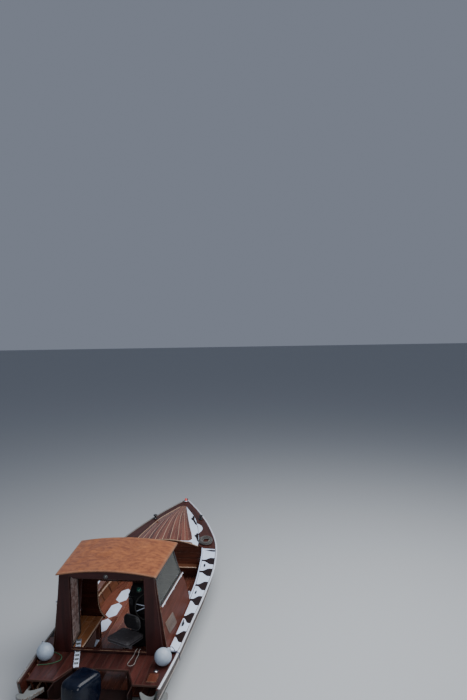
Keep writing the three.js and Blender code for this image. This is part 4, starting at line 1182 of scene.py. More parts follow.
# %% Plank the sides
def planking():
    pile = Pile()
    seams = [0.2, 0.4, 0.58]
    levels = [(0.0, 0.0)]
    for seam in seams:
        levels += [(seam - 0.006, 0.0), (seam, -0.003), (seam + 0.006, 0.0)]
    levels = sorted(levels + [(0.1, 0.0), (0.3, 0.0), (0.35, 0.0), (0.5, 0.0), (0.7, 0.0), (0.85, 0.0),
        (1.0, 0.0)])
    worn = [1.0 if out < 0 else 0.2 if t in (0.0, 1.0) else 0.0 for t, out in levels]
    rings = []
    for x in stations(STERN, BOW, 0.09):
        outer = [side_point(x, t, out) for t, out in levels]
        inner = [Vector((p.x, max(p.y - SIDE_T, 0.001), p.z)) for p in (side_point(x, t)
            for t, out in reversed(levels))]
        rings.append(outer + inner)
    n = len(levels)
    pile.skin(rings, True, 0, 0.5, worn + [0.0] * n)
    for k, face in enumerate(pile.faces):
        # Aft of the wheelhouse the inner face takes dark mahogany: painted shade in the stern quarters.
        shaded_astern = sum(pile.points[i].x for i in face) / len(face) < -2.55
        pile.coats[k] = (2 if shaded_astern else 1) if all(i % (2 * n) >= n for i in face) else 0
    return pile


def ribs():
    pile = Pile()
    for x in spread(-3.2, 1.0, 12):
        rows = []
        for z in spread(0.115, sheer(x) - 0.03, 6):
            face = inner_half(x, z)
            rows.append(square(2, z, (x, face + 0.001), (x + 0.03, face - 0.018)))
        pile.board(rows, 0.002, 0.004)
    return pile


def stringers():
    pile = Pile()
    for low, high, depth in ((0.385, 0.425, 0.024), (0.25, 0.275, 0.022)):
        rows = []
        for x in stations(-3.18, 1.1, 0.2):
            face = inner_half(x, high)
            rows.append([(x, face, low), (x, face, high), (x, face - depth, high), (x, face - depth, low)])
        pile.board(rows, 0.003, 0.006)
    return pile


planking().both("planking_{}", [hull_paint, lining_wood, dark_mahogany], "side_{}", slot="hull_paint")
ribs().both("ribs_{}", mahogany, slot="dark_varnish")
stringers().both("stringers_{}", trim_wood, slot="varnish")
print("side height amidships:", round(sheer(0) - along(HULL, 0, 3), 3), "m")

# %% Bottom and keel
bottom = Pile()
rings = []
for x in stations(STERN, BOW, 0.11):
    chine, chine_z, keel_z = (along(HULL, x, column) for column in (2, 3, 4))
    half = [(chine * share, lean(keel_z, chine_z, share)) for share in (1, 0.99, 0.75, 0.5, 0.25, 0.03)]
    lower = [(x, y, z) for y, z in half] + [(x, 0, keel_z)] + [(x, -y, z) for y, z in reversed(half)]
    rings.append(lower + [(x, -chine + 0.002, chine_z + BOTTOM_T), (x, 0, keel_z + BOTTOM_T + 0.004),
        (x, chine - 0.002, chine_z + BOTTOM_T)])
bottom.skin(rings[::-1], True, 0, 0.5)
bottom.build("bottom_planking", hull_paint, stands_for=["bottom"], slot="hull_paint")

keel = Pile()
line = [(x, along(HULL, x, 4) - 0.0005) for x in stations(STERN + 0.08, BOW, 0.06)]
rows = []
for i, (x, z) in enumerate(line):
    a, b = line[max(i - 1, 0)], line[min(i + 1, len(line) - 1)]
    run = hypot(b[0] - a[0], b[1] - a[1])
    below = (x + 0.048 * (b[1] - a[1]) / run, z - 0.048 * (b[0] - a[0]) / run)
    rows.append([(below[0], -0.025, below[1]), (below[0], 0.025, below[1]), (x, 0.025, z), (x, -0.025, z)])
rows += [[(BOW + out, -0.025, z), (BOW + out, 0.025, z), (BOW + 0.0005, 0.025, z), (BOW + 0.0005, -0.025, z)]
    for out, z in ((0.058, 0.905), (0.062, 0.99))]
keel.board(rows, 0.006, 0.008, 0, 0.4)
keel.build("keel_and_stem_post", [hull_paint], stands_for=["keel_and_stem"], slot="dark_varnish")

# %% [markdown]
# ## Transom
#
# The transom is one broad board that carries the motor. It is cut down in the middle for the clamp, and
# a pad of harder wood spreads the clamp's load. Its varnish is worn pale in patches.

# %% Transom and its pad
TRANSOM_X, TRANSOM_T, TRANSOM_HALF = -3.4805, 0.0395, 0.946


def on_transom(y, z, depth):
    return (TRANSOM_X - depth, y, z)


corner = side_point(STERN, 0.35)
right = [(0, -0.158), (0.784, -0.055), (corner.y, corner.z), (TRANSOM_HALF, 0.366), (0.38, 0.366),
    (0.32, 0.285), (0.3, 0.26)]
transom = Pile().plate(right + [(-y, z) for y, z in right[:0:-1]], 0.0, TRANSOM_T, on_transom, 0.004)
transom.build("transom_board", solid_wood["y"], stands_for=["transom"], slot="dark_varnish")
pad = Pile().plate([(-0.16, 0.03), (0.16, 0.03), (0.16, 0.235), (0.13, 0.25), (-0.13, 0.25), (-0.16, 0.235)],
    TRANSOM_T, 0.046, on_transom, 0.003)
pad.build("transom_pad", solid_wood["z"], slot="dark_varnish")
print("transom:", round(2 * TRANSOM_HALF, 2), "m wide")

# %% [markdown]
# ## Rub strakes and bright strips
#
# A heavy strake runs round the hull under the deck edge and takes every knock against piles and walls.
# Its paint has mostly gone. A paler moulding runs under it, and a half-round strip of bright metal is
# screwed on top, in lengths that meet in fine joints.

# %% Strakes, mouldings and bright strips
def strake():
    rows = []
    for x in stations(-3.476, BOW - 0.004, 0.08):
        low, top = side_point(x, 0.77), sheer(x) - 0.001
        edge = beam(x)
        rows.append([(x, low.y + 0.003, low.z), (x, low.y + 0.026, low.z), (x, edge + 0.026, top),
            (x, edge + 0.003, top)])
    return Pile().board(rows, 0.004, 0.008, 0.0, 0.5)


def moulding():
    rings = []
    for x in stations(-3.476, BOW - 0.004, 0.08):
        low, high = side_point(x, 0.7), side_point(x, 0.76)
        middle, half = (low + high) / 2, (high.z - low.z) / 2
        ring = [(x, middle.y + 0.003, high.z), (x, middle.y + 0.003, low.z)]
        for a in spread(-80, 80, 6):
            ring.append((x, middle.y + 0.012 + 0.018 * cos(radians(a)), middle.z + half * sin(radians(a))))
        rings.append(ring)
    return Pile().skin(rings, True, 0, 0.5, [0.2, 0.2] + [0.9, 0.4, 0.2, 0.2, 0.2, 0.4, 0.9])


def bright_half_round():
    pile = Pile()
    joints = [-3.472, -1.78, -0.08, 1.62, BOW - 0.004]
    for start, end in zip(joints, joints[1:]):
        rings = []
        for x in stations(start + 0.0008, end - 0.0008, 0.06):
            middle, low = beam(x) + 0.012, sheer(x) + 0.002
            ring = [(x, middle + 0.017 * cos(radians(a)), low + 0.014 * sin(radians(a)))
                for a in spread(0, 180, 10)]
            rings.append([(x, middle + 0.017, low - 0.0015)] + ring + [(x, middle - 0.017, low - 0.0015)])
        pile.skin(rings, True, start, 0.5)
    return pile


def strip_screws():
    pile = Pile()
    for x in spread(-3.4, 3.2, 27):
        top = Vector((x, beam(x) + 0.012, sheer(x) + 0.0155))
        pile.lathe([(0.0, -0.004), (0.0065, -0.003), (0.0065, 0.0), (0.005, 0.0014), (0.0012, 0.0018),
            (0.0, 0.0006)], Matrix.Translation(top), 12)
    return pile


strake().both("rub_strake_{}_timber", weathered_paint, "rub_strake_{}", slot="weathered_paint")
moulding().both("strake_moulding_{}", moulding_paint, slot="weathered_paint")
# The port strip is darkened with painted shade; the starboard strip is the bluish bright one.
bright_half_round().both("bright_strip_{}", dull_strip, "gunwale_strip_{}", bright_strip, slot="bright_strip")
strip_screws().both("strip_screws_{}", steel_screw, slot="chrome")
print("strake:", round(side_point(0, 1).z - side_point(0, 0.7).z, 3), "m deep")

# %% [markdown]
# ## Side decks
#
# Both side decks are varnished. On the starboard one the sky's reflection in the varnish is painted in as
# white inside a thin varnished border, and bell shapes of bare dark wood reach in from the border, one for
# each half metre of deck. The port side deck shows its varnish all over.
# A painted mask would do, but real shapes a millimetre and a half proud keep their edge crisp from any
# distance, and they catch the light as the varnish on the real ones does.

# %% Side decks and bells
INNER_EDGE = [(-2.47, 0.85), (-1.68, 0.866), (-0.97, 0.877), (-0.31, 0.878), (0.14, 0.856), (0.82, 0.8),
    (1.06, 0.762)]
FORE_EDGE = [(1.1, 0.662), (1.5, 0.612), (1.9, 0.512), (2.35, 0.385), (2.7, 0.215), (3.0, 0.055)]
DECK_AFT, FORE_AFT, FORE_END = -2.47, 1.1, 3.0


def fore_lift(x):
    rise = min(1.0, max(0.0, (x - 1.04) / 0.06))
    return 0.04 * rise * (1.0 if x < 2.0 else (3.3 - x) / 1.3)


def deck_inner(x):
    if x < DECK_AFT:
        return beam(x) - 0.024
    if x < FORE_AFT:
        return along(INNER_EDGE, x, 1)
    return min(max(0.0015 if x > FORE_END else along(FORE_EDGE, x, 1), 0.0015), beam(x) - 0.008)


def deck_point(x, share, out=0.0):
    """On the side deck, share 0 at its outer edge and 1 at its inner edge, and a height above it."""
    y = lean(beam(x), deck_inner(x), share)
    return Vector((x, y, sheer(x) + fore_lift(x) * share + out))


BORDER = 0.011
INLAY_T, PAINT_T = 0.0022, 0.0018


def deck_rows(low, high, outer=None, inner=None, step=0.07):
    """Sections of a deck board. A border, where there is one, is as wide all along."""
    rows = []
    for x in stations(low, high, step):
        share = BORDER / max(beam(x) - deck_inner(x), 0.04)
        a, b = 0.0 if outer is None else share * outer, 1.0 if inner is None else share * inner
        rows.append([deck_point(x, a, -DECK_T), deck_point(x, a), deck_point(x, b),
            deck_point(x, b, -DECK_T)])
    return rows


def bell(x_centre, length=0.3):
    """The outline of a bell: a broad skirt at the outer edge, a quick shoulder and a thin tail inboard."""
    flank = []
    for share in spread(0.0, 1.0, 20):
        rest = min(max((0.84 - share) / 0.56, 0.0), 1.0)
        half = length / 2 * (0.23 + 0.77 * rest * rest * (3 - 2 * rest))
        flank.append((half, 0.01 + 0.982 * share))
    shift = lambda share: x_centre + 0.032 * share
    return [(shift(s) + h, s) for h, s in flank] + [(shift(s) - h, s) for h, s in reversed(flank)]


def over_deck(sunk):
    """For a plate: takes its points from the side deck, a little sunk into it."""
    return lambda x, share, z: deck_point(x, share, z - sunk)


def bells(centres):
    pile = Pile()
    for number, (x_centre, length) in enumerate(centres):
        pile.plate(bell(x_centre, length), 0.0, INLAY_T, over_deck(0.0005), 0.0007,
            tone=0.3 + 0.13 * (number % 4), offset=number * 2.3)
    return pile


deck_board = Pile().board(deck_rows(DECK_AFT, 1.06, outer=1.0), 0.002, 0.006, 0.0, 0.5)
cover = Pile().board(deck_rows(DECK_AFT, 1.06, inner=1.0), 0.003, 0.005, 9.0, 0.5)
cover.board(deck_rows(STERN, DECK_AFT - 0.001, step=0.12), 0.002, 0.004, 3.0, 0.4)
cover.board(deck_rows(FORE_AFT - 0.037, BOW - 0.01), 0.003, 0.007, 5.0, 0.6)
side_bells = bells([(-2.075, 0.33), (-1.495, 0.33), (-0.92, 0.32), (-0.395, 0.31), (0.118, 0.29),
    (0.56, 0.26), (0.985, 0.07)])
# The port deck shows its varnish; the starboard deck's white is a painted reflection of the sky on the same varnish.
deck_board.build("deck_board_port", mahogany, stands_for=["side_deck_port"], slot="varnish")
deck_board.mirrored().build("deck_board_starboard", white_paint, stands_for=["side_deck_starboard"],
    slot="white_paint")
cover.both("covering_board_{}", edge_wood, slot="dark_varnish")
side_bells.both("deck_bells_{}", shadow_wood, slot="dark_varnish")
print("side deck width amidships:", round(beam(0) - deck_inner(0), 3), "m")

# %% [markdown]
# The coaming stands along the inner edge of each side deck and keeps spray out of the cockpit. It is
# painted, with a rounded white cap. The pinkish, mottled tone of its board, which the bench front shares,
# is a painted reflection of a sunlit brick wall.

# %% Coamings
def coaming():
    rows, cap = [], []
    for x in stations(-0.93, 1.06, 0.08):
        out, s = along(INNER_EDGE, x, 1) - 0.005, sheer(x)
        rows.append(square(0, x, (out - 0.017, s - 0.13), (out, s + 0.017)))
        cap.append((x, out - 0.0085, s + 0.0155))
    return Pile().board(rows, 0.002, 0.005, 1.0, 0.5), Pile().tube(cap, 0.0125, 12)


coaming_board, coaming_cap = coaming()
coaming_board.both("coaming_board_{}", coaming_wood, "coaming_{}", slot="white_paint")
coaming_cap.both("coaming_cap_{}", white_paint, slot="white_paint")

# %% [markdown]
# ## Foredeck
#
# The foredeck is the show piece. Its planks fan out from the stem, so every one is a long wedge, and the
# pale caulk between them draws the rays. The easiest way to get even caulk is to make the bed under the
# planks pale and leave a gap: the bed then shows in each seam, wider to port, and every second seam is
# tight. A white margin lies along the starboard side, a painted reflection of the sky on the varnish
# there. Two dark bells bite into it, and a white tongue of the same painted reflection runs out between
# them.

# %% Foredeck planks, caulk and margin
FAN_EDGE = [(1.1, 0.55), (1.5, 0.458), (1.815, 0.362), (2.1, 0.284), (2.35, 0.218), (2.7, 0.128),
    (2.89, 0.08), (2.985, 0.048)]
FAN_PLANKS = 16
DECK_CROWN = 0.19


def crown(x, y, out=0.0):
    e = along(FORE_EDGE, x, 1) - 0.0015
    return Vector((x, y, sheer(x) + fore_lift(x) + DECK_CROWN * e * (1 - (y / e) ** 2) + out))


bed, fan, margin = Pile(), Pile(), Pile()
rings = []
for x in stations(FORE_AFT + 0.002, FORE_END - 0.02, 0.07):
    e = along(FORE_EDGE, x, 1) - 0.0025
    top = [crown(x, e * share, -0.0032) for share in spread(-1, 1, 24)]
    rings.append(top + [p + up(0.0032 - DECK_T) for p in reversed(top)])
bed.skin(rings, True, 0, 0.5)

for k in range(FAN_PLANKS):
    rows = []
    for x in stations(FORE_AFT + 0.012, FORE_END - 0.03, 0.07):
        starboard, port = -along(FAN_EDGE, x, 1), along(FORE_EDGE, x, 1) - 0.005
        width = (port - starboard) / FAN_PLANKS
        left, right = (starboard + width * seam + way * min(0.0008 if seam % 2 else 0.0018 + 0.0004 * seam,
            width * 0.1) for seam, way in ((k, 1), (k + 1, -1)))
        rows.append([crown(x, left, -0.012), crown(x, right, -0.012), crown(x, right), crown(x, left)])
    fan.board(rows, 0.0012, 0.004, k * 3.3, (k * 0.37) % 1.0)

rows = []
for x in stations(FORE_AFT + 0.012, FORE_END - 0.05, 0.07):
    inner, outer = -along(FAN_EDGE, x, 1) - 0.003, 0.0045 - along(FORE_EDGE, x, 1)
    rows.append([crown(x, inner, -0.012), crown(x, outer, -0.012), crown(x, outer, 0.0002),
        crown(x, inner, 0.0002)])
margin.board(rows, 0.0012, 0.004, 2.0, 0.5)
margin.plate([(1.109, -0.652), (1.3, -0.505), (1.23, -0.49), (1.175, -0.455), (1.135, -0.38), (1.109, -0.3)],
    0.0, PAINT_T, crown, 0.0006)

front_lip = Pile().tube([crown(FORE_AFT + 0.004, y, -0.0075) for y in spread(-0.655, 0.655, 40)], 0.0085, 10)
bed.build("foredeck_caulk", trim_wood, stands_for=["foredeck"], slot="varnish")
fan.build("foredeck_planks", red_mahogany, slot="varnish")
# The margin's white is a painted reflection of the sky.
margin.build("foredeck_margin", white_paint, slot="white_paint")
front_lip.build("foredeck_lip", trim_wood, slot="varnish")


def margin_point(x, share, z):
    return crown(x, lean(0.005 - along(FORE_EDGE, x, 1), -along(FAN_EDGE, x, 1) - 0.004, share * 0.62), z)


fore_bells, tongue = Pile(), Pile()
for number, (x_centre, length) in enumerate(((1.45, 0.36), (2.24, 0.44))):
    fore_bells.plate(bell(x_centre, length), 0.0, INLAY_T, margin_point, 0.0007, tone=0.2 * number,
        offset=number * 1.9)
fore_bells.build("fore_bells", shadow_wood, slot="dark_varnish")
# The tongue's white, on the starboard side deck, is a painted reflection of the sky.
tongue.plate([(1.66, 0.995), (1.76, 0.8), (1.85, 0.66), (1.93, 0.6), (2.02, 0.63), (2.07, 0.75),
    (2.12, 0.995)], 0.0, PAINT_T, over_deck(0.0004), 0.0006)
tongue.mirrored().build("fore_white_tongue", white_paint, slot="white_paint")
chocks = Pile()
for x, out in ((-0.63, 0.928), (0.39, 0.908)):
    share = (beam(x) - out) / (beam(x) - deck_inner(x))
    chocks.plate([(x + 0.062 * cos(a), share + 0.075 * sin(a)) for a in turns(16)], 0.0, 0.0045,
        over_deck(0.0004), 0.001)
chocks.mirrored().build("deck_plates", black_plastic, slot="black_paint")

for side, finish_here, spans in (("port", trim_wood, [(FORE_AFT, FORE_END - 0.04)]),
        ("starboard", edge_wood, [(FORE_AFT, 1.68), (2.1, FORE_END - 0.04)])):
    edge_bead = Pile()
    for low, high in spans:
        edge_bead.tube([deck_point(x, 1, 0.003) for x in stations(low, high, 0.06)], 0.006, 10)
    (edge_bead if side == "port" else edge_bead.mirrored()).build("fore_bead_" + side, finish_here,
        slot="varnish")
print("foredeck rises", round(crown(1.2, 0).z - crown(1.2, 0.6).z, 3), "m over its half width")

# %% [markdown]
# ## Aft deck, motor well and knees
#
# Behind the wheelhouse a low deck runs to the transom and leaves a well for the motor. Its planks run
# fore and aft, again on a pale bed, and one broad margin board follows each side. The corners of the
# stern are filled with horn-shaped knees, painted a grey white.

# %% Aft deck
DECK_TOP = 0.5
WELL_FORE, WELL_HALF, WELL_AFT_HALF, DECK_END = -2.95, 0.4, 0.55, -3.285


def well_edge(y):
    """How far aft the deck reaches at this distance from the centreline."""
    y = abs(y)
    if y <= WELL_HALF:
        return WELL_FORE
    return lean(WELL_FORE, DECK_END, min(1.0, (y - WELL_HALF) / (WELL_AFT_HALF - WELL_HALF)))


def flat(a, b, z):
    return (a, b, z)


aft_bed, aft_planks, aft_margin = Pile(), Pile(), Pile()
half = [(x, inner_half(x, DECK_TOP - DECK_T)) for x in (-2.47, -2.8, -3.1, DECK_END)] + [(DECK_END,
    WELL_AFT_HALF), (WELL_FORE, WELL_HALF)]
aft_bed.plate(half + [(x, -y) for x, y in reversed(half)], DECK_TOP - DECK_T, DECK_TOP - 0.003, flat, 0.001)
MARGIN_AT = 0.8
seams = [MARGIN_AT * k / 7 for k in range(-7, 8)]
for k, (left, right) in enumerate(zip(seams, seams[1:])):
    left, right = left + 0.002, right - 0.002
    breaks = sorted({left, right} | {y for y in (-WELL_AFT_HALF, -WELL_HALF, WELL_HALF, WELL_AFT_HALF)
        if left < y < right})
    outline = [(-2.472, left), (-2.472, right)] + [(well_edge(y) + 0.022, y) for y in reversed(breaks)]
    aft_planks.plate(outline, DECK_TOP - 0.012, DECK_TOP, flat, 0.0012, tone=(k * 0.43) % 1.0, offset=k * 3.1)
for turn in (1, -1):
    outer = [(x, turn * (inner_half(x, DECK_TOP - DECK_T) - 0.002))
        for x in spread(-2.472, DECK_END + 0.003, 8)]
    outline = outer + [(DECK_END + 0.003, turn * (MARGIN_AT + 0.002)), (-2.472, turn * (MARGIN_AT + 0.002))]
    aft_margin.plate(outline, DECK_TOP - 0.012, DECK_TOP + 0.0005, flat, 0.0012, tone=0.35,
        offset=17.0 * turn)
# The aft deck's planks, margin, nosing and caulk are darkened, partly as painted shade.
aft_bed.build("aft_deck_caulk", dim_caulk, stands_for=["aft_deck"], slot="varnish")
aft_planks.build("aft_deck_planks", aft_wood, slot="varnish")
aft_margin.build("aft_deck_margin", aft_wood, slot="varnish")

# %% Well lining, nosing and hatch
WELL_FLOOR, WELL_TOP = 0.2, 0.477
well = Pile()
wall = 0.013
corners = [(WELL_FORE, WELL_HALF), (DECK_END, WELL_AFT_HALF), (STERN + 0.002, WELL_AFT_HALF)]
corners += [(x, -y) for x, y in reversed(corners)]
floor_outline = [(x, y * 1.02) for x, y in corners]
well.plate(floor_outline, WELL_FLOOR, WELL_FLOOR + wall, flat, 0.002, tone=0.4)
for (xa, ya), (xb, yb) in zip(corners, corners[1:]):
    run = Vector((xb - xa, yb - ya, 0))
    out = Vector((run.y, -run.x, 0)).normalized() * -wall
    a, b = Vector((xa, ya, 0)), Vector((xb, yb, 0))
    rows = []
    for share in (0.0, 0.5, 1.0):
        p = a.lerp(b, share)
        rows.append([p + up(WELL_FLOOR + wall), p + out + up(WELL_FLOOR + wall), p + out + up(WELL_TOP),
            p + up(WELL_TOP)])
    if (xa, xb) != (STERN + 0.002, STERN + 0.002):
        well.board(rows, 0.002, 0.004, tone=0.3)
# The well lining's near-black is painted shade.
well.build("well_lining", shadow_wood, stands_for=["motor_well"], slot="dark_varnish")

nosing = Pile()
NOSING_LOW, NOSING_TOP = 0.472, 0.505
rim = [(DECK_END + 0.011, 0.94), (DECK_END + 0.011, WELL_AFT_HALF + 0.004),
    (WELL_FORE + 0.012, WELL_HALF + 0.008)]
rim += [(x, -y) for x, y in reversed(rim)]
for (xa, ya), (xb, yb) in zip(rim, rim[1:]):
    a, b = Vector((xa, ya, 0)), Vector((xb, yb, 0))
    across = (b - a).cross(up(1)).normalized() * 0.01
    section = ((-1, NOSING_LOW), (1, NOSING_LOW), (1, NOSING_TOP), (-1, NOSING_TOP))
    rows = [[p + across * side + up(z) for side, z in section] for p in (a, a.lerp(b, 0.5), b)]
    nosing.board(rows, 0.004, 0.004)
nosing.build("well_nosing", aft_wood, slot="varnish")



def oblong(x_low, y_low, x_high, y_high):
    return [(x_low, y_low), (x_high, y_low), (x_high, y_high), (x_low, y_high)]


hatch = Pile().plate(oblong(-3.2, -0.86, -3.0, -0.725), 0.4995, 0.5045, flat, 0.0015, tone=0.7)
hatch.build("deck_hatch", mahogany, slot="varnish")
hatch_frame = Pile().plate(oblong(-3.208, -0.868, -2.992, -0.717), 0.4995, 0.5028, flat, 0.001,
    [oblong(-3.201, -0.861, -2.999, -0.724)])
hatch_frame.build("hatch_frame", trim_wood, slot="varnish")
filler = Pile()
filler.lathe([(0, 0), (0.034, 0), (0.034, 0.003), (0.027, 0.006), (0.0265, 0.008), (0.024, 0.0105),
    (0, 0.0112)], Matrix.Translation((-2.93, -0.79, 0.4995)), 32)
for a in turns(3):
    filler.lathe([(0, 0), (0.0035, 0), (0.003, 0.0012), (0, 0.0015)],
        Matrix.Translation((-2.93 + 0.03 * cos(a), -0.79 + 0.03 * sin(a), 0.503)), 10)
filler.build("fuel_filler", chrome, slot="chrome")

# %% Quarter knees
def knee(out):
    arm = out > 0.972
    spline = lambda points: [(p.x, p.y) for p in smooth_line([(x, y, 0) for x, y in points], 5)]
    inner = spline([(-3.302, 0.674), (-3.345, 0.722), (-3.388, 0.78), (-3.404, 0.83), (-3.385, 0.864),
        (-3.33, 0.874)])
    inside = inner_half(STERN, 0.37) - 0.002
    face = [(-3.25, inside - 0.006), (-3.25, inside), (-3.485, inside), (-3.485, min(out - 0.04, 0.984))]
    outside = [(-3.31, 0.992), (-3.284, 1.01), (-3.288, 1.032)] if arm else []
    outer = spline([(-3.33, out - 0.004) if arm else (-3.49, out - 0.008), (-3.52, out), (-3.578, 0.94),
        (-3.606, 0.88), (-3.59, 0.812), (-3.5, 0.742), (-3.4, 0.69), (-3.33, 0.66)])
    outline = inner + face + outside + outer
    return Pile().plate(outline, 0.37, 0.424, flat, 0.004)


knee(0.972).build("horn_knee_port", pale_paint, stands_for=["quarter_knee_port"], slot="white_paint")
knee(1.052).mirrored().build("horn_knee_starboard", pale_paint, stands_for=["quarter_knee_starboard"],
    slot="white_paint")

# %% [markdown]
# ## Cockpit floor
#
# The cockpit floor is planked fore and aft, too. Long white lozenges with pointed ends are set into it
# along each side, end to end, and a line of pale beads crosses it behind the step.

# %% Sole, lozenges, step and bulkhead
SOLE_LOW, SOLE_TOP = 0.09, 0.112
SEAM_GAP = 0.0008
sole, lozenges = Pile(), Pile()
seams = spread(-0.66, 0.66, 12)
for k, (left, right) in enumerate(zip(seams, seams[1:])):
    joint = -1.9 + 0.62 * (k * 5 % 6)
    reach = 1.5
    while inner_half(reach, SOLE_LOW) - 0.006 < max(abs(left), abs(right)):
        reach -= 0.02
    for start, end in ((-2.9, joint), (joint, reach)):
        stops = (start + SEAM_GAP, lean(start, end, 0.5), end - SEAM_GAP)
        sole.straight(0, stops, (left + SEAM_GAP, SOLE_LOW), (right - SEAM_GAP, SOLE_TOP), 0.0015, 0.005,
            tone=(k * 0.31 + (0.5 if start == joint else 0)) % 1.0)
for turn in (1, -1):
    rows = []
    for x in stations(-2.9, 1.25, 0.15):
        inner, outer = turn * 0.6608, turn * (inner_half(x, SOLE_LOW) - 0.005)
        rows.append(square(0, x, (inner, SOLE_LOW), (outer, SOLE_TOP)))
    sole.board(rows, 0.0015, 0.005, tone=0.5)
sole.build("sole_planks", red_mahogany, stands_for=["sole"], slot="varnish")

for number, (fore, aft) in enumerate([(0.46, -0.115), (-0.135, -0.705), (-0.73, -1.24), (-1.265, -1.78),
        (-1.81, -2.3)]):
    tip, half_width, y = 0.11, 0.098, 0.592 + 0.008 * number
    outline = [(aft, y), (aft + tip, y - half_width), (fore - tip, y - half_width), (fore, y),
        (fore - tip, y + half_width), (aft + tip, y + half_width)]
    lozenges.plate(outline, SOLE_TOP - 0.0005, SOLE_TOP + INLAY_T, flat, 0.0008, offset=number * 1.3)
lozenges.both("white_lozenges_{}", white_paint, slot="white_paint")

step = Pile().straight(1, (-0.64, 0, 0.64), (0.975, 0.338), (1.1195, 0.362), 0.003)
step.build("bow_step_board", lining_wood, stands_for=["bow_step"], slot="varnish")
step_edge = Pile().tube([(0.972, y, 0.35) for y in (-0.638, 0, 0.638)], 0.009, 10)
step_edge.build("bow_step_edge", trim_wood, slot="varnish")

bulkhead = Pile()
BULKHEAD_X, BULKHEAD_T = 1.12, 0.018
e = along(FORE_EDGE, BULKHEAD_X, 1) - 0.008
slats = spread(0.114, sheer(BULKHEAD_X) + fore_lift(BULKHEAD_X) - DECK_T - 0.003, 5)


def on_bulkhead(y, z, depth):
    return (BULKHEAD_X + depth, y, z)


for z0, z1 in zip(slats, slats[1:]):
    wide = [min(inner_half(1.14, z) - 0.004, 0.9) for z in (z0, z1)]
    outline = [(-wide[0], z0 + SEAM_GAP), (wide[0], z0 + SEAM_GAP), (wide[1], z1 - SEAM_GAP),
        (-wide[1], z1 - SEAM_GAP)]
    bulkhead.plate(outline, 0.0, BULKHEAD_T, on_bulkhead, 0.0015, tone=(z0 * 7) % 1.0, offset=z0 * 9)
z1 = slats[-1] + SEAM_GAP
top = [(y, z1 + DECK_CROWN * e * (1 - (y / e) ** 2)) for y in spread(e, -e, 16)]
bulkhead.plate([(-e, z1), (e, z1)] + top[1:-1], 0.0, BULKHEAD_T, on_bulkhead, 0.0015, tone=0.6)
bulkhead.build("fore_bulkhead_boards", mahogany, stands_for=["fore_bulkhead"], slot="dark_varnish")
print("sole:", round(2 * inner_half(-0.6, SOLE_LOW), 2), "m wide")

# %% [markdown]
# ## Wheelhouse
#
# The wheelhouse is open at the back. Two broad dark pillars lean in towards each other and carry a
# header, and a sill beam crosses between them. Its sides stand on the side decks and lean in too, so
# each side is drawn flat, as a joiner would, and then tilted into place.

# %% Rear pillars, header and sill beam
HOUSE_AFT, PILLAR_T, DOOR_HALF, HEAD_Z = -2.545, 0.05, 0.555, 1.615
SILL_LOW, SILL_TOP = 0.524, 0.554
PILLAR_OUT = [(0.502, 0.842), (0.62, 0.805), (1.000, 0.772), (1.635, 0.708)]
ROOF_AFT, ROOF_FORE, ROOF_T = -2.56, -1.32, 0.018


def roof_share(x):
    return (x - ROOF_AFT) / (ROOF_FORE - ROOF_AFT)


def roof_point(x, across, out=0.0):
    """On the roof's upper face, across from -1 at the starboard edge to 1 at the port edge."""
    eave = lean(1.676, 1.718, roof_share(x))
    return Vector((x, lean(0.742, 0.794, roof_share(x)) * across, eave + 0.07 * (1 - across * across) + out))


def under_roof(x, y):
    return roof_point(x, y / lean(0.742, 0.794, roof_share(x))).z - ROOF_T - 0.004


frame_aft, frame_fore = HOUSE_AFT, HOUSE_AFT + PILLAR_T
pillars, sill = Pile(), Pile()
for turn in (1, -1):
    rows = []
    for z in spread(0.502, 1.648, 16):
        out = along(PILLAR_OUT, z, 1)
        z_out = min(z, under_roof(frame_aft, out))
        rows.append([(frame_aft, turn * DOOR_HALF, z), (frame_aft, turn * out, z_out),
            (frame_fore, turn * out, z_out), (frame_fore, turn * DOOR_HALF, z)])
    pillars.board(rows, 0.005, 0.008, 2.0 * turn, 0.4)
rows = []
for y in spread(-0.704, 0.704, 20):
    top, low = under_roof(frame_aft, y), (HEAD_Z if abs(y) < DOOR_HALF else 1.6485)
    rows.append([(frame_aft - 0.002, y, min(low, top - 0.008)), (frame_aft - 0.002, y, top),
        (frame_fore + 0.002, y, top), (frame_fore + 0.002, y, min(low, top - 0.008))])
header = Pile().board(rows, 0.003, 0.006, 7.0, 0.3)
for coat, (low, high, proud) in enumerate(((SILL_LOW, 0.545, 0.004), (0.545, SILL_TOP, 0.008))):
    sill.straight(1, (-0.565, 0, 0.565), (frame_aft - proud, low), (frame_fore + proud, high), 0.003, 0.004,
        coat=coat)
pillars.build("rear_pillars", pillar_wood, stands_for=["rear_frame"], slot="dark_varnish")
header.build("rear_header", pillar_wood, slot="dark_varnish")
sill.build("sill_beam", [pillar_wood, dark_mahogany], slot="dark_varnish")

dome_lamp = Pile().lathe([(0, -0.006), (0.034, -0.006), (0.034, 0.002), (0.03, 0.004), (0.027, 0.013),
    (0.019, 0.021), (0.009, 0.025), (0, 0.026)], put((frame_aft - 0.004, 0, 1.655), -pi / 2, "Y"), 32)
pale_glass = speckled("frosted_lamp", (0.045,) * 3, (0.07,) * 3, 0.25, 90.0, 0.0004, 0.3, (0.12,) * 3)
dome_lamp.build("header_lamp", pale_glass, slot="glass")
print("doorway:", round(2 * DOOR_HALF, 2), "x", round(HEAD_Z - SILL_TOP, 2), "m")

# %% [markdown]
# ## Roof
#
# The roof is one sheet of orange plywood, sprung over arched beams. A thin pale bead hides the laminations
# along its edges. From below and from behind, the beams show.

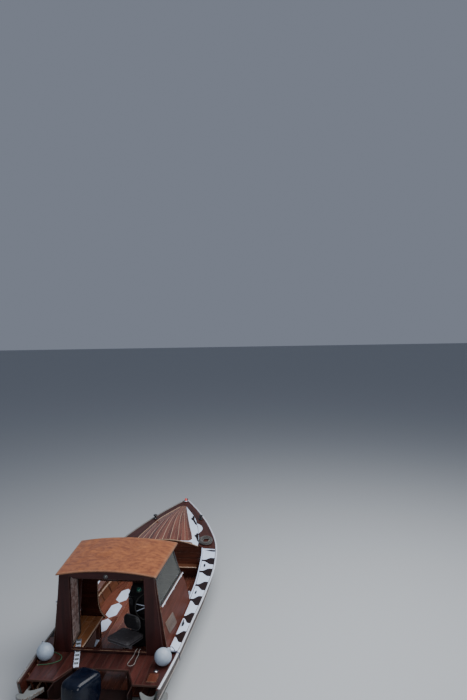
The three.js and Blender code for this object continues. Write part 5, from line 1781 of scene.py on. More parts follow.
# %% Sheet, bead, beams and rails
sheet_rings = []
for x in spread(ROOF_AFT + 0.004, ROOF_FORE - 0.004, 24):
    top = [roof_point(x, share * 0.995) for share in spread(-1, 1, 40)]
    sheet_rings.append(top + [p - up(ROOF_T) for p in reversed(top)])
roof_sheet = Pile().skin(sheet_rings, True, 0.0, 0.5)
ring_size = len(sheet_rings[0])
for i in range(len(roof_sheet.points)):
    k, place_in_ring = divmod(i, ring_size)
    if k in (0, 24) or place_in_ring % 41 in (0, 40):
        roof_sheet.edge[i] = 1.0
roof_sheet.build("roof_sheet", roof_plywood, stands_for=["roof"], slot="roof_varnish")

bead = Pile()
for x in (ROOF_AFT + 0.003, ROOF_FORE - 0.003):
    bead.tube([roof_point(x, share, -0.009) for share in spread(-0.998, 0.998, 40)], 0.0098, 10)
for turn in (1, -1):
    bead.tube([roof_point(x, turn * 0.998, -0.009) for x in spread(ROOF_AFT + 0.003, ROOF_FORE - 0.003, 10)],
        0.0098, 10)
bead.build("roof_bead", roof_trim, slot="roof_varnish")

beams = Pile()
for x in (-2.22, -1.93, -1.64):
    rows = []
    for share in spread(-0.9, 0.9, 18):
        low, high = roof_point(x, share, -ROOF_T - 0.036), roof_point(x, share, -ROOF_T)
        rows.append([low, high, high + Vector((0.032, 0, 0.001)), low + Vector((0.032, 0, 0))])
    beams.board(rows, 0.002, 0.005)
beams.build("roof_beams", dark_mahogany, slot="roof_varnish")


def house_side(x, z, out=0.0):
    return Vector((x, out + 0.858 + 0.018 * (x + 2.5) - 0.13 * (z - 0.57), z))


roof_rail = Pile().plate([(-2.49, 1.611), (-1.46, 1.636), (-1.46, 1.716), (-2.49, 1.674)], -0.03, -0.002,
    house_side, 0.002, tone=0.4)
roof_rail.both("roof_rail_{}", dark_mahogany, slot="dark_varnish")
print("roof:", round(ROOF_FORE - ROOF_AFT, 2), "x", round(2 * 0.77, 2), "m")

# %% [markdown]
# ## Cabin sides
#
# Each side is a mahogany panel with a curved fore end. It carries a capping along its top, a quarter-round
# along the deck, a louvred vent, and a chrome rail on three posts. The window above is one pane in a thin
# black frame.

# %% Side panels with capping and vent
PANEL_AFT, PANEL_FORE = -2.49, -1.15


def panel_top(x):
    return lean(1.195, 1.148, (x - PANEL_AFT) / (PANEL_FORE - PANEL_AFT))


def panel_outline():
    low = [(x, sheer(x) + 0.002) for x in spread(PANEL_AFT, -0.94, 12)]
    start, pull, end = Vector(low[-1]), Vector((-0.905, 0.8)), Vector((-1.155, 1.148))
    curve = [start * (1 - t) ** 2 + pull * 2 * t * (1 - t) + end * t * t for t in spread(0, 1, 14)[1:]]
    return low + [tuple(p) for p in curve] + [(PANEL_AFT, 1.195)]


def bar_between(pile, a, b, half, depth_low, depth_high, chamfer=0.002):
    """A straight bar on the leaning side, from a to b, given as (x, z)."""
    run = (Vector(b) - Vector(a)).normalized()
    side = Vector((-run.y, run.x)) * half
    rows = []
    for p in (Vector(a), (Vector(a) + Vector(b)) / 2, Vector(b)):
        rows.append([house_side(*(p - side), depth_low), house_side(*(p + side), depth_low),
            house_side(*(p + side), depth_high), house_side(*(p - side), depth_high)])
    pile.board(rows, chamfer, 0.004)


def framed(pile, corners, *sizes):
    for a, b in zip(corners, corners[1:] + corners[:1]):
        bar_between(pile, a, b, *sizes)


panel = Pile().plate(panel_outline(), -0.018, 0.0, house_side, 0.003, tone=0.45)
trims = Pile()
bar_between(trims, (PANEL_AFT, panel_top(PANEL_AFT) - 0.014),
    (PANEL_FORE + 0.004, panel_top(PANEL_FORE) - 0.014), 0.016, -0.022, 0.005)
trims.tube([house_side(x, sheer(x) + 0.01, 0.005) for x in spread(PANEL_AFT, -0.95, 16)], 0.009, 10)
trims.tube([house_side(x, z, -0.009) for x, z in panel_outline()[13:27]], 0.0115, 10)
post = [(z, house_side(PANEL_AFT, z, -0.004).y) for z in spread(0.52, 1.6, 14)]
trims.board([[(-2.497, y - 0.05, z), (-2.497, y + 0.001, z), (-2.486, y + 0.004, z), (-2.486, y - 0.05, z)]
    for z, y in post], 0.002, 0.004, coat=1)

vent_frame, louvres = Pile(), Pile()
corners = [(-2.39, 0.913), (-1.97, 0.874), (-1.86, 0.667), (-2.27, 0.709)]
framed(vent_frame, corners, 0.01, -0.001, 0.007)
for k in range(1, 9):
    a, b = (Vector(corners[i]).lerp(Vector(corners[j]), k / 9) for i, j in ((0, 3), (1, 2)))
    rows = []
    for p in (a, (a + b) / 2, b):
        rows.append([house_side(p.x, p.y - 0.01, 0.0005), house_side(p.x, p.y + 0.008, 0.0005),
            house_side(p.x, p.y + 0.007, 0.003), house_side(p.x, p.y - 0.01, 0.007)])
    louvres.board(rows, 0.0008, 0.002)

panel.both("cabin_panel_{}", cabin_wood, "cabin_side_{}", slot="varnish")
trims.both("cabin_trim_{}", [cabin_wood, dark_mahogany], slot="varnish")
vent_frame.both("vent_frame_{}", dull_trim, slot="varnish")
louvres.both("vent_louvres_{}", dull_trim, slot="varnish")

# %% Side windows
window = Pile()
fore = PANEL_FORE - 0.038
corners = [(PANEL_AFT + 0.011, panel_top(PANEL_AFT) + 0.012), (fore + 0.004, panel_top(fore) + 0.012),
    (-1.425, 1.622), (PANEL_AFT + 0.011, 1.598)]
framed(window, corners, 0.0115, -0.019, -0.0005)
window.both("window_frame_{}", black_plastic, slot="black_paint")
for side in ("port", "starboard"):
    dress("side_window_" + side, window_glass)
    dress("windscreen_" + side, window_glass)

# %% Chrome handrails
rail = Pile()
rail_aft, rail_fore = (house_side(x, panel_top(x) + 0.012, 0.026) for x in (-2.466, -1.189))
rail.tube([rail_aft.lerp(rail_fore, t) for t in spread(0, 1, 8)], 0.009, 14)
for end in (rail_aft, rail_fore):
    rail.lathe(knob(0.0122, (0.0115, 0.005), (0.007, 0.0105), (0.0001, 0.012)), Matrix.Translation(end), 16)
for x in (-2.34, -1.79, -1.29):
    bend = [house_side(x, panel_top(x) + rise, out) for rise, out in ((-0.016, 0.0045), (-0.016, 0.017),
        (-0.01, 0.025), (0.012, 0.026))]
    foot, bar = bend[0], bend[-1]
    rail.tube(smooth_line(bend, 4), 0.0065, 12)
    rail.lathe(knob(0.012, (0.011, 0.011)), put(bar, pi / 2, "Y"), 16)
    rail.lathe(head(0.017, 0.002, 0.012, 0.0045), put(foot - Vector((0, 0.004, 0)), -pi / 2, "X"), 20)
rail.both("chrome_rail_{}", bright_strip, "handrail_{}", slot="chrome")
print("rail:", round((rail_fore - rail_aft).length, 2), "m")

# %% [markdown]
# ## Front bulkhead and windscreen
#
# A bulkhead closes the wheelhouse forward up to a broad shelf, with a passage left open beside the
# helm; its dark finish is partly painted shade. A row of pale beads runs down the passage's edge. On the
# shelf stands the raked windscreen, two lights in a black frame.

# %% Bulkhead, shelf and beads
FRONT = -1.4
passage = [(0.53, 1.082), (0.53, 0.74), (0.505, 0.6), (0.474, 0.536), (0.432, 0.487), (0.43, 0.455),
    (0.508, 0.44), (0.508, 0.114)]
outline = [(-0.82, 0.114), (-0.05, 0.114), (-0.05, 1.082)] + passage + [
           (0.82, 0.114), (0.838, 0.56), (0.785, 1.112), (-0.785, 1.112), (-0.838, 0.56)]
front = Pile().plate(outline, 0.0, 0.02, lambda y, z, depth: (FRONT + depth, y, z), 0.002, tone=0.3)
front.plate([(FRONT - 0.02, -0.772), (-1.172, -0.782), (-1.172, 0.782), (FRONT - 0.02, 0.772)], 1.1115, 1.14,
    flat, 0.004, tone=0.5)
# The bulkhead's dark finish is partly painted shade.
front.build("front_panels", dark_mahogany, stands_for=["front_bulkhead"], slot="dark_varnish")

edge_path = smooth_line([(FRONT - 0.003, y + 0.003, z) for y, z in [(0.53, 1.075), (0.53, 0.9)]
    + passage[1:5]], 6)
beads = Pile().tube(edge_path, 0.005, 8)
line, length = evenly(edge_path[::3] + [edge_path[-1]], 0.032)
for p in line[1:-1]:
    beads.lathe(knob(0.0078, (0.0055, 0.005), (0.0001, 0.0075)),
        Matrix.Translation(p - Vector((0.003, 0, 0))), 10)
beads.build("passage_beads", trim_wood, slot="varnish")


# %% Windscreen frame
def raked(y, z, depth):
    return (-1.165 - 0.493 * (z - 1.166) - depth, y, z)


top = [(y, under_roof(-1.412, y)) for y in spread(0.735, -0.735, 16)]
light = [(0.019, 1.204), (0.757, 1.204), (0.699, 1.628), (0.019, 1.628)]
screen = Pile().plate([(-0.795, 1.166), (0.795, 1.166)] + top, 0.0, 0.025, raked, 0.003,
    [light, [(-y, z) for y, z in light]])
screen.build("screen_frame", black_plastic, stands_for=["windscreen_frame"], slot="black_paint")
gasket = Pile()
for turn in (1, -1):
    ring = [Vector(raked(turn * y, z, 0.0)) for y, z in drawn_in(rightwards(light, True), 0.004)]
    for a, b in zip(ring, ring[1:] + ring[:1]):
        gasket.tube([a, a.lerp(b, 0.5), b], 0.0045, 8)
gasket.build("screen_gasket", black_rubber, slot="black_paint")

# %% [markdown]
# A glazed door leaf is folded back inside the port pillar. Seen from behind it is almost edge on, so it
# shows as a narrow bright pane between two black uprights. The pane's pale pink mottle is a painted
# reflection of a sunlit brick wall.

# %% Folded door leaf
leaf, pane = Pile(), Pile()
LEAF = [(-2.472, 0.583), (-1.985, 0.622)]
LEAF_LOW, LEAF_TOP = 0.512, 1.585
PANE_LOW, PANE_TOP = 0.56, 1.55


def on_leaf(along_it, z, depth):
    a, b = Vector(LEAF[0]), Vector(LEAF[1])
    run = (b - a).normalized()
    p = a + run * along_it + Vector((-run.y, run.x)) * depth
    return (p.x, p.y, z)


size = (Vector(LEAF[1]) - Vector(LEAF[0])).length
leaf.plate(oblong(0, LEAF_LOW, size, LEAF_TOP), 0.0, 0.022, on_leaf, 0.002,
    [oblong(0.075, PANE_LOW, size - 0.034, PANE_TOP)])
pane.plate(oblong(0.074, 0.559, size - 0.033, 1.551), 0.009, 0.013, on_leaf, 0.0005)
leaf.build("door_leaf_frame", black_plastic, slot="black_paint")
# The pane is coloured with a painted reflection of a brick wall.
pane.build("door_leaf_pane", dusty_glass, slot="glass")
sill_strip = Pile().tube([on_leaf(s, 0.563, -0.002) for s in (0.075, size / 2, size - 0.034)], 0.004, 8)
sill_strip.build("door_leaf_bead", trim_wood, slot="varnish")
print("door leaf:", round(size, 2), "m wide")

# %% [markdown]
# ## Bench and helm
#
# To port there is a plain bench of three boards with a pale front edge, boarded in below for most of its
# length; the boards and the edge are coloured lighter than the wood is, as painted light. To starboard a
# black console carries the wheel, a compass, three dials, switches and the throttle. Dials are worth real
# geometry: a bezel, a face that is set back, and a needle each throw their own small highlight.

# %% Bench
BENCH_AFT, BENCH_FORE = -2.43, -1.425
BENCH_LOW, BENCH_TOP = 0.475, 0.5
BEARER_TOP = 0.474
bench, bench_frame = Pile(), Pile()
boards = [0.462, 0.582, 0.702, 0.822]
for k, (inner, outer) in enumerate(zip(boards, boards[1:])):
    bench.straight(0, (BENCH_AFT, -1.93, BENCH_FORE), (inner + 0.001, BENCH_LOW), (outer - 0.001, BENCH_TOP),
        0.003, 0.006, tone=0.3 + 0.25 * k)
for x, y in ((BENCH_AFT, 0.45), (-1.445, 0.515)):
    bench_frame.straight(2, (0.114, 0.3, BEARER_TOP), (x, y), (x + 0.02, 0.6), 0.003)
bench_frame.straight(0, (BENCH_AFT, -1.9, BENCH_FORE), (0.8, 0.43), (0.822, BEARER_TOP), 0.002)
bench_frame.straight(0, (-2.41, -1.9, -1.445), (0.465, 0.435), (0.483, BEARER_TOP), 0.002)
bench_front = Pile().plate([(BENCH_AFT, 0.115), (-1.97, 0.115), (-1.86, 0.228), (-1.755, 0.29),
    (-1.735, BEARER_TOP), (BENCH_AFT, BEARER_TOP)], 0.468, 0.481, lambda x, z, y: (x, y, z), 0.002, tone=0.5)
# The bench front's pinkish tone is the same painted reflection of a brick wall.
bench_front.build("bench_front", coaming_wood, slot="varnish")
bench.build("bench_boards", bench_wood, stands_for=["bench"], slot="varnish")
bench_frame.build("bench_frame", mahogany, slot="varnish")
bench_edge = Pile().tube([(x, 0.459, 0.4885) for x in (-2.425, -1.9, -1.43)], 0.0095, 10)
bench_edge.build("bench_edge", pale_edge, slot="varnish")

# %% Console
face, back = -1.69, -1.402
profile = [(back, 0.114), (back, 1.06), (back - 0.09, 1.06), (face, 0.985), (face + 0.02, 0.7),
    (face + 0.09, 0.61), (face + 0.09, 0.114)]
console = Pile().plate(profile, -0.735, -0.06, lambda x, z, y: (x, y, z), 0.008)
dash_slope = atan2(1.06 - 0.985, (back - 0.09) - face)


def on_dash(forward, y, out=0.0):
    """A place on the sloping dash, for something that is turned about its own upright axis."""
    p = Vector((face, y, 0.985)) + Vector((cos(dash_slope), 0, sin(dash_slope))) * forward
    return Matrix.Translation(p) @ Matrix.Rotation(-dash_slope, 4, "Y") @ Matrix.Translation((0, 0, out))


def on_face(height, y, out=0.0):
    p = Vector((lean(face + 0.02, face, height), y, lean(0.7, 0.985, height)))
    return Matrix.Translation(p) @ Matrix.Rotation(-pi / 2 - 0.07, 4, "Y") @ Matrix.Translation((0, 0, out))


console.build("console_box", black_plastic, stands_for=["helm_console"], slot="black_paint")
bezels, dials, needles = Pile(), Pile(), Pile()
for y, radius in ((-0.6, 0.034), (-0.49, 0.044), (-0.37, 0.034)):
    bezels.lathe([(0, 0), (radius, 0), (radius, 0.004), (radius - 0.003, 0.007), (radius - 0.007, 0.007),
        (radius - 0.007, 0.0025), (0, 0.0025)], on_dash(0.1, y), 36)
    dials.lathe([(0, 0.002), (radius - 0.0072, 0.002), (radius - 0.0072, 0.0032), (0, 0.0032)],
        on_dash(0.1, y), 30)
    for k in range(9):
        mark = Matrix.Rotation(radians(-120 + 30 * k), 4, "Z")
        a, b = (on_dash(0.1, y, 0.0036) @ mark @ Vector((r, 0, 0)) for r in (radius - 0.015, radius - 0.009))
        needles.tube([a, b], 0.0008, 5)
    turn = Matrix.Rotation(y * 7, 4, "Z")
    needles.tube([on_dash(0.1, y, 0.0042) @ turn @ Vector((r, 0, 0)) for r in (-0.006, radius - 0.013)],
        0.0011, 5)
switches = Pile()
for k in range(5):
    place_of = on_face(0.82, -0.68 + 0.036 * k)
    bezels.lathe([(0, 0), (0.0085, 0), (0.0085, 0.003), (0, 0.003)], place_of, 16)
    switches.tube([place_of @ Vector(p) for p in ((0, 0, 0.002), (0.002, 0, 0.009), (0.006, 0, 0.017))],
        [0.0028, 0.003, 0.0038], 8)
bezels.build("dial_bezels", chrome, slot="chrome")
dials.build("dial_faces", black_rubber, slot="black_paint")
needles.build("dial_marks", pale_glass, slot="glass")
switches.build("dash_switches", chrome, slot="chrome")

# %% Compass and throttle
at = on_dash(0.1069, -0.214, 0.001)
compass = Pile().lathe([(0, 0), (0.048, 0), (0.05, 0.004), (0.05, 0.014), (0.044, 0.02), (0.042, 0.022),
    (0, 0.022)], at, 36)
compass_dome = Pile().lathe([(0, 0.021), (0.0405, 0.021), (0.04, 0.03), (0.036, 0.041), (0.027, 0.051),
    (0.014, 0.0565), (0, 0.058)], at, 36)
compass.build("compass_base", black_plastic, stands_for=["compass"], slot="black_paint")
green_dome = speckled("green_compass", (0.01, 0.1, 0.075), (0.02, 0.16, 0.11), 0.1, 90.0, 0.0003, 0.15,
    Coat_Weight=1.0)
compass_dome.build("compass_dome", green_dome, slot="glass")

throttle = Pile()
throttle.plate(oblong(-0.15, 0.85, -0.085, 0.96), 0.0, 0.042, lambda y, z, out: (-1.692 - out, y, z), 0.006)
throttle.tube(smooth_line([(-1.712, -0.105, 0.945), (-1.728, -0.105, 0.985), (-1.752, -0.105, 1.02),
    (-1.768, -0.105, 1.043)], 4), 0.0065, 12, coat=1)
throttle.lathe(knob(0.016, (0.0145, 0.007), (0.009, 0.014), (0.0001, 0.016)),
    Matrix.Translation((-1.77, -0.105, 1.045)), 20)
throttle.lathe(head(0.017, 0.004, 0.012, 0.007), put((-1.713, -0.086, 0.945), -pi / 2, "X"), 20, coat=1)
throttle.build("throttle_box", [black_plastic, chrome], stands_for=["throttle"], slot="black_paint")

# %% Steering wheel
WHEEL_AT = put((-1.825, -0.405, 0.885), -pi / 2 + radians(32), "Y")
WHEEL_R = 0.195
wheel, spokes = Pile(), Pile()
rings = []
for k, a in enumerate(turns(96)):
    grip = 0.0125 + 0.0008 * cos(a * 24)
    ring = []
    for b in turns(12):
        radius = WHEEL_R + grip * cos(b)
        ring.append(WHEEL_AT @ Vector((radius * cos(a), radius * sin(a), grip * sin(b))))
    rings.append(ring)
wheel.skin(rings + [rings[0]], False)
wheel.lathe([(0, -0.04), (0.034, -0.04), (0.034, -0.012), (0.04, 0.000), (0.036, 0.009), (0.024, 0.0125),
    (0, 0.0135)], WHEEL_AT, 32)
for a in (81, 114, 201, 234, 321, 354):
    a = radians(a)
    rows = []
    for r in (0.028, 0.06, 0.11, 0.15, 0.186):
        half, depth = lean(0.009, 0.0065, (r - 0.028) / 0.158), lean(-0.008, 0.0, (r - 0.028) / 0.158)
        rows.append([WHEEL_AT @ (Matrix.Rotation(a, 3, "Z") @ Vector(p))
            for p in ((r, -half, depth - 0.003), (r, half, depth - 0.003), (r, half, depth + 0.002),
            (r, -half, depth + 0.002))])
    spokes.board(rows, 0.0012, 0.002)
wheel.build("wheel_rim", black_rubber, "steering_wheel", ["steering_wheel"], "black_paint")
spokes.build("wheel_spokes", chrome, "steering_wheel", slot="chrome")
column = Pile().tube([WHEEL_AT @ up(z) for z in (-0.047, -0.12, -0.19)], 0.016, 16)
column.lathe([(0, 0), (0.042, 0), (0.042, 0.006), (0.03, 0.014), (0.018, 0.016), (0, 0.016)],
    on_face(0.5, -0.405), 28)
column.build("wheel_column", black_plastic, slot="black_paint")
print("wheel:", 2 * WHEEL_R, "m across")

# %% [markdown]
# ## Helm seat
#
# The seat is the one soft thing on board. Its cushion is foam under vinyl, so it's blown up as cloth: a
# slab with rounded corners is remeshed finely, pressure pushes its skin out for twenty frames, and no
# point may move more than a centimetre and a half. The piping is laid on afterwards, along the seams that
# the stuffing pulled tight.

# %% Stuffed pads
SEAT_X, SEAT_Y, SEAT_LOW, CUSHION = -2.16, -0.135, 0.495, 0.1
SEAT_AT = put((SEAT_X, SEAT_Y, SEAT_LOW), radians(154), "Z")


def rounded(width, depth, corner, steps=8):
    outline = []
    for cx, cy, start in ((1, 1, 0), (-1, 1, 90), (-1, -1, 180), (1, -1, 270)):
        for a in spread(start, start + 90, steps):
            a = radians(a)
            outline.append((cx * (width / 2 - corner) + corner * cos(a),
                cy * (depth / 2 - corner) + corner * sin(a)))
    return outline


def stuffed(name, outline, low, high, cap, voxel, material, slot, stands_for):
    """A pad in the seat's own frame, blown up as cloth."""
    slab = Pile().plate(outline, low, high, flat, 0.016)
    mesh = bpy.data.meshes.new(name)
    mesh.from_pydata([p[:] for p in slab.points], [], slab.faces)
    pad = bpy.data.objects.new(name, mesh)
    bpy.context.scene.collection.objects.link(pad)
    remesh = pad.modifiers.new("fine skin", "REMESH")
    remesh.mode, remesh.voxel_size = "VOXEL", voxel
    graph = bpy.context.evaluated_depsgraph_get()
    pad.data = bpy.data.meshes.new_from_object(pad.evaluated_get(graph))
    pad.modifiers.clear()
    start = [v.co.copy() for v in pad.data.vertices]
    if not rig.quick():
        cloth = pad.modifiers.new("stuffing", "CLOTH")
        cloth.settings.use_pressure = True
        cloth.settings.uniform_pressure_force = 4
        cloth.settings.effector_weights.gravity = 0
        cloth.point_cache.frame_start, cloth.point_cache.frame_end = 1, 20
        for number in range(1, 21):
            bpy.context.scene.frame_set(number)
        swollen = pad.evaluated_get(bpy.context.evaluated_depsgraph_get()).to_mesh()
        for v, before, after in zip(pad.data.vertices, start, [w.co.copy() for w in swollen.vertices]):
            move = after - before
            v.co = before + move * min(1.0, cap / max(move.length, 1e-6))
        pad.modifiers.clear()
        bpy.context.scene.frame_set(1)
    smooth = pad.modifiers.new("soften", "SMOOTH")
    smooth.factor, smooth.iterations = 0.5, 4
    finer = pad.modifiers.new("finer", "SUBSURF")
    finer.levels = finer.render_levels = 1
    pad.data = bpy.data.meshes.new_from_object(pad.evaluated_get(bpy.context.evaluated_depsgraph_get()))
    pad.modifiers.clear()
    pad.data.materials.clear()
    pad.data.materials.append(material)
    pad.data.shade_smooth()
    pad.matrix_world = SEAT_AT
    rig.ride(pad, "helm_seat")
    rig.replaces(pad, *stands_for)
    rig.slot(pad, slot)
    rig.padded(pad, fill=0.85)
    return pad


def piping(pad, loop, radius, pile):
    """A welt along the pad's skin, through the nearest points of the pad to the loop."""
    line = []
    for p in loop + loop[:1]:
        point, normal = pad.closest_point_on_mesh(Vector(p))[1:3]
        line.append(SEAT_AT @ (point + normal * radius * 0.35))
    pile.tube(line, radius, 8, flat_ends=True)


cushion = stuffed("seat_cushion_pad", rounded(0.396, 0.451, 0.062), 0.02, 0.088, 0.015, 0.006, seat_vinyl,
    "vinyl", ["seat_cushion"])
backrest_outline = rounded(0.33, 0.242, 0.1)
backrest = stuffed("seat_back_pad", backrest_outline, -0.02, 0.024, 0.012, 0.006, back_vinyl, "vinyl",
    ["seat_back"])
STAND_UP = put((-0.165, 0, 0.229), pi / 2, "Z") @ Matrix.Rotation(pi / 2, 4, "X")
backrest.data.transform(STAND_UP)
welts = Pile()
for height in (0.026, 0.082):
    piping(cushion, [(x, y, height) for x, y in rounded(0.41, 0.465, 0.064, 12)], 0.0042, welts)
welts.build("seat_piping", piping_vinyl, "helm_seat", slot="vinyl")
dark_welt = Pile()
for depth in (-0.014, 0.018):
    piping(backrest, [tuple(STAND_UP @ Vector((x, y, depth))) for x, y in rounded(0.342, 0.254, 0.104, 12)],
        0.004, dark_welt)
dark_welt.build("back_piping", piping_vinyl, "helm_seat", slot="vinyl")

# %% Seat plate, hinge irons and post
seat_plate = Pile().plate(rounded(0.26, 0.24, 0.02), 0.001, 0.013, inside(SEAT_AT), 0.002)
for y in (-0.09, 0.09):
    iron = [(-0.08, y, 0.01), (-0.16, y, 0.014), (-0.196, y, 0.04), (-0.198, y, 0.12), (-0.188, y, 0.22)]
    seat_plate.tube([SEAT_AT @ p for p in smooth_line(iron, 5)], 0.007, 10)
seat_plate.build("seat_plate", black_plastic, "helm_seat", slot="black_paint")
post_at = Matrix.Translation((SEAT_X, SEAT_Y, 0.114))
post = Pile().lathe([(0, 0), (0.125, 0), (0.125, 0.007), (0.119, 0.012), (0.07, 0.017), (0.048, 0.027),
    (0.04, 0.045), (0.036, 0.06), (0.034, 0.2), (0.034, 0.235), (0.041, 0.24), (0.041, 0.275), (0.034, 0.28),
    (0.03, 0.285), (0.03, 0.3795), (0, 0.3795)], post_at, 40)
for a in turns(6):
    post.lathe([(0, 0), (0.007, 0), (0.006, 0.003), (0, 0.004)],
        post_at @ Matrix.Translation((0.1 * cos(a), 0.1 * sin(a), 0.0135)), 12)
post.build("seat_pedestal", chrome, stands_for=["seat_post"], slot="chrome")
print("seat height:", round(SEAT_LOW + CUSHION - SOLE_TOP, 2), "m above the sole")

# %% [markdown]
# ## Outboard motor
#
# The motor hangs on the transom and lies turned, as its last helmsman left it. Everything that steers is
# drawn in the motor's own frame, whose origin is on the steering axis at the waterline, and is turned
# into place at the end. The cover is a soft box: rounded sections are lofted up through a table of
# heights, and a groove marks where it lifts off the pan.

# %% Cover
STEER_X, STEER_REST = -3.675, radians(-21)
MOTOR_AT = put((STEER_X, 0, 0), STEER_REST, "Z")
COVER = [(0.404, 0.116, -0.223, 0.11, 0.098, 0.04), (0.445, 0.172, -0.24, 0.148, 0.134, 0.05),
    (0.52, 0.204, -0.244, 0.161, 0.147, 0.055), (0.62, 0.222, -0.246, 0.168, 0.154, 0.058),
    (0.745, 0.226, -0.236, 0.168, 0.154, 0.06), (0.785, 0.222, -0.226, 0.164, 0.151, 0.06),
    (0.806, 0.211, -0.212, 0.154, 0.142, 0.058), (0.82, 0.193, -0.195, 0.139, 0.128, 0.054),
    (0.829, 0.166, -0.17, 0.119, 0.107, 0.046)]


def soft_box(z, inset=0.0):
    """A rounded section of the cover, with sides that bulge a little between its corners."""
    fore, aft, half_fore, half_aft, corner = (along(COVER, z, column) for column in range(1, 6))
    fore, aft, half_fore, half_aft = fore - inset, aft + inset, half_fore - inset, half_aft - inset
    arcs = []
    for cx, cy, start in ((fore - corner, half_fore - corner, 0), (aft + corner, half_aft - corner, 90),
            (aft + corner, corner - half_aft, 180), (fore - corner, corner - half_fore, 270)):
        arcs.append([Vector((cx + corner * cos(radians(a)), cy + corner * sin(radians(a)), z))
            for a in spread(start, start + 90, 8)])
    ring = []
    for k, arc in enumerate(arcs):
        ring += arc
        a, b = arc[-1], arcs[(k + 1) % 4][0]
        out = Vector((b.y - a.y, a.x - b.x, 0)).normalized()
        ring += [a.lerp(b, t) + out * 0.006 * 4 * t * (1 - t) for t in spread(0, 1, 8)[1:-1]]
    return [MOTOR_AT @ p for p in ring]


SEAM = 0.497
heights = [(z, 0.0) for z in spread(0.404, 0.49, 5)] + [(SEAM - 0.003, 0.0), (SEAM - 0.002, 0.004),
    (SEAM + 0.002, 0.004), (SEAM + 0.003, -0.001)]
heights += [(z, -0.001) for z in (0.512, 0.55, 0.6, 0.65, 0.7, 0.74, 0.765, 0.785, 0.797, 0.806, 0.814, 0.82,
    0.826, 0.829)]
rings = [soft_box(z, inset) for z, inset in heights]
crown_rings = []
for share, rise in ((0.9, 0.0022), (0.7, 0.0048), (0.45, 0.0064), (0.2, 0.0072)):
    middle = sum(rings[-1], Vector()) / len(rings[-1])
    crown_rings.append([middle.lerp(p, share) + up(rise) for p in rings[-1]])
cover = Pile().skin(rings + crown_rings, True, 0, 0.5)
cover.build("cowling_cover", motor_lacquer, "motor", ["cowling"], "motor_paint", 40)

# %% Intake, latch and handle
def in_motor(x, y, z):
    return MOTOR_AT @ Vector((x, y, z))


trim = Pile()
for k in range(6):
    z = 0.69 + 0.017 * k
    aft = along(COVER, z, 2) - 0.0035
    trim.board([[in_motor(aft + 0.01, y, z - 0.004), in_motor(aft - 0.001 - 0.002 * cos(y * 12), y,
        z - 0.005), in_motor(aft - 0.002, y, z + 0.001), in_motor(aft + 0.01, y, z + 0.004)]
        for y in spread(-0.062, 0.062, 6)], 0.001, 0.002)
trim.plate([(-0.03, -0.022), (0.03, -0.022), (0.036, 0.0), (0.03, 0.022), (-0.03, 0.022), (-0.036, 0.0)], 0.0,
    0.012, lambda a, b, out: in_motor(along(COVER, 0.47, 1) + out - 0.006, a, 0.472 + b * 0.6), 0.003)
GRIP_Z = 0.58
grip = smooth_line([(along(COVER, GRIP_Z, 1) + out, y, GRIP_Z)
    for out, y in ((-0.004, -0.07), (0.013, -0.055), (0.015, 0.0), (0.013, 0.055), (-0.004, 0.07))], 5)
trim.tube([MOTOR_AT @ p for p in grip], 0.008, 12)
trim.build("cowling_trim", black_plastic, "motor", slot="motor_paint")


# %% Pan, leg and gearcase
def section(z, x, length, width, corner):
    return [in_motor(x + a, b, z) for a, b in rounded(length, width, corner, 6)]


leg = Pile()
leg.skin([section(z, -0.075, 0.3 - 2 * d, 0.23 - 2 * d, 0.06 - d)
    for z, d in ((0.368, 0.01), (0.371, 0.003), (0.378, 0.0), (0.396, 0.0), (0.4035, 0.004))], True, 0, 0.4)
leg.skin([section(z, x, length, width, corner) for z, x, length, width, corner in ((-0.196, -0.15, 0.15, 0.07,
    0.03), (0.05, -0.15, 0.15, 0.076, 0.034), (0.2, -0.15, 0.15, 0.078, 0.036),
    (0.31, -0.148, 0.156, 0.09, 0.04), (0.35, -0.14, 0.172, 0.12, 0.046),
    (0.372, -0.125, 0.205, 0.15, 0.05))], True, 0, 0.6)
leg.tube([in_motor(0, 0, z) for z in (-0.028, 0.1, 0.385)], 0.025, 20)
for stops, low, high, planed in (((-0.15, -0.06, 0.025), (-0.026, -0.03), (0.026, 0.014), 0.005),
        ((-0.06, 0.0, 0.09), (-0.022, 0.37), (0.022, 0.386), 0.004)):
    leg.board([[in_motor(*corner) for corner in square(0, x, low, high)] for x in stops], planed)
leg.build("motor_leg", motor_casting, "motor", ["midsection"], "motor_paint")

PROP_Z = -0.395
gear = Pile()
gear.skin([section(z, -0.15, length, width, corner) for z, length, width, corner in ((-0.196, 0.15, 0.07,
    0.03), (-0.225, 0.15, 0.066, 0.03), (-0.3, 0.146, 0.06, 0.028), (-0.345, 0.156, 0.068, 0.032),
    (-0.375, 0.175, 0.08, 0.038))], True, 0, 0.5)
gear.skin([section(z, -0.19, 0.3 - 2 * d, 0.17 - 2 * d, 0.06)
    for z, d in ((-0.236, 0.003), (-0.234, 0.0), (-0.227, 0.0), (-0.224, 0.004))], True, 0, 0.3)
barrel = [(0.0001, 0.175), (0.012, 0.172), (0.024, 0.16), (0.036, 0.132), (0.044, 0.1), (0.05, 0.045),
    (0.0505, 0.0), (0.05, -0.06), (0.047, -0.095), (0.044, -0.118), (0.0001, -0.118)]
gear.lathe(barrel[::-1], MOTOR_AT @ put((-0.15, 0, PROP_Z), pi / 2, "Y"), 36)
skeg = []
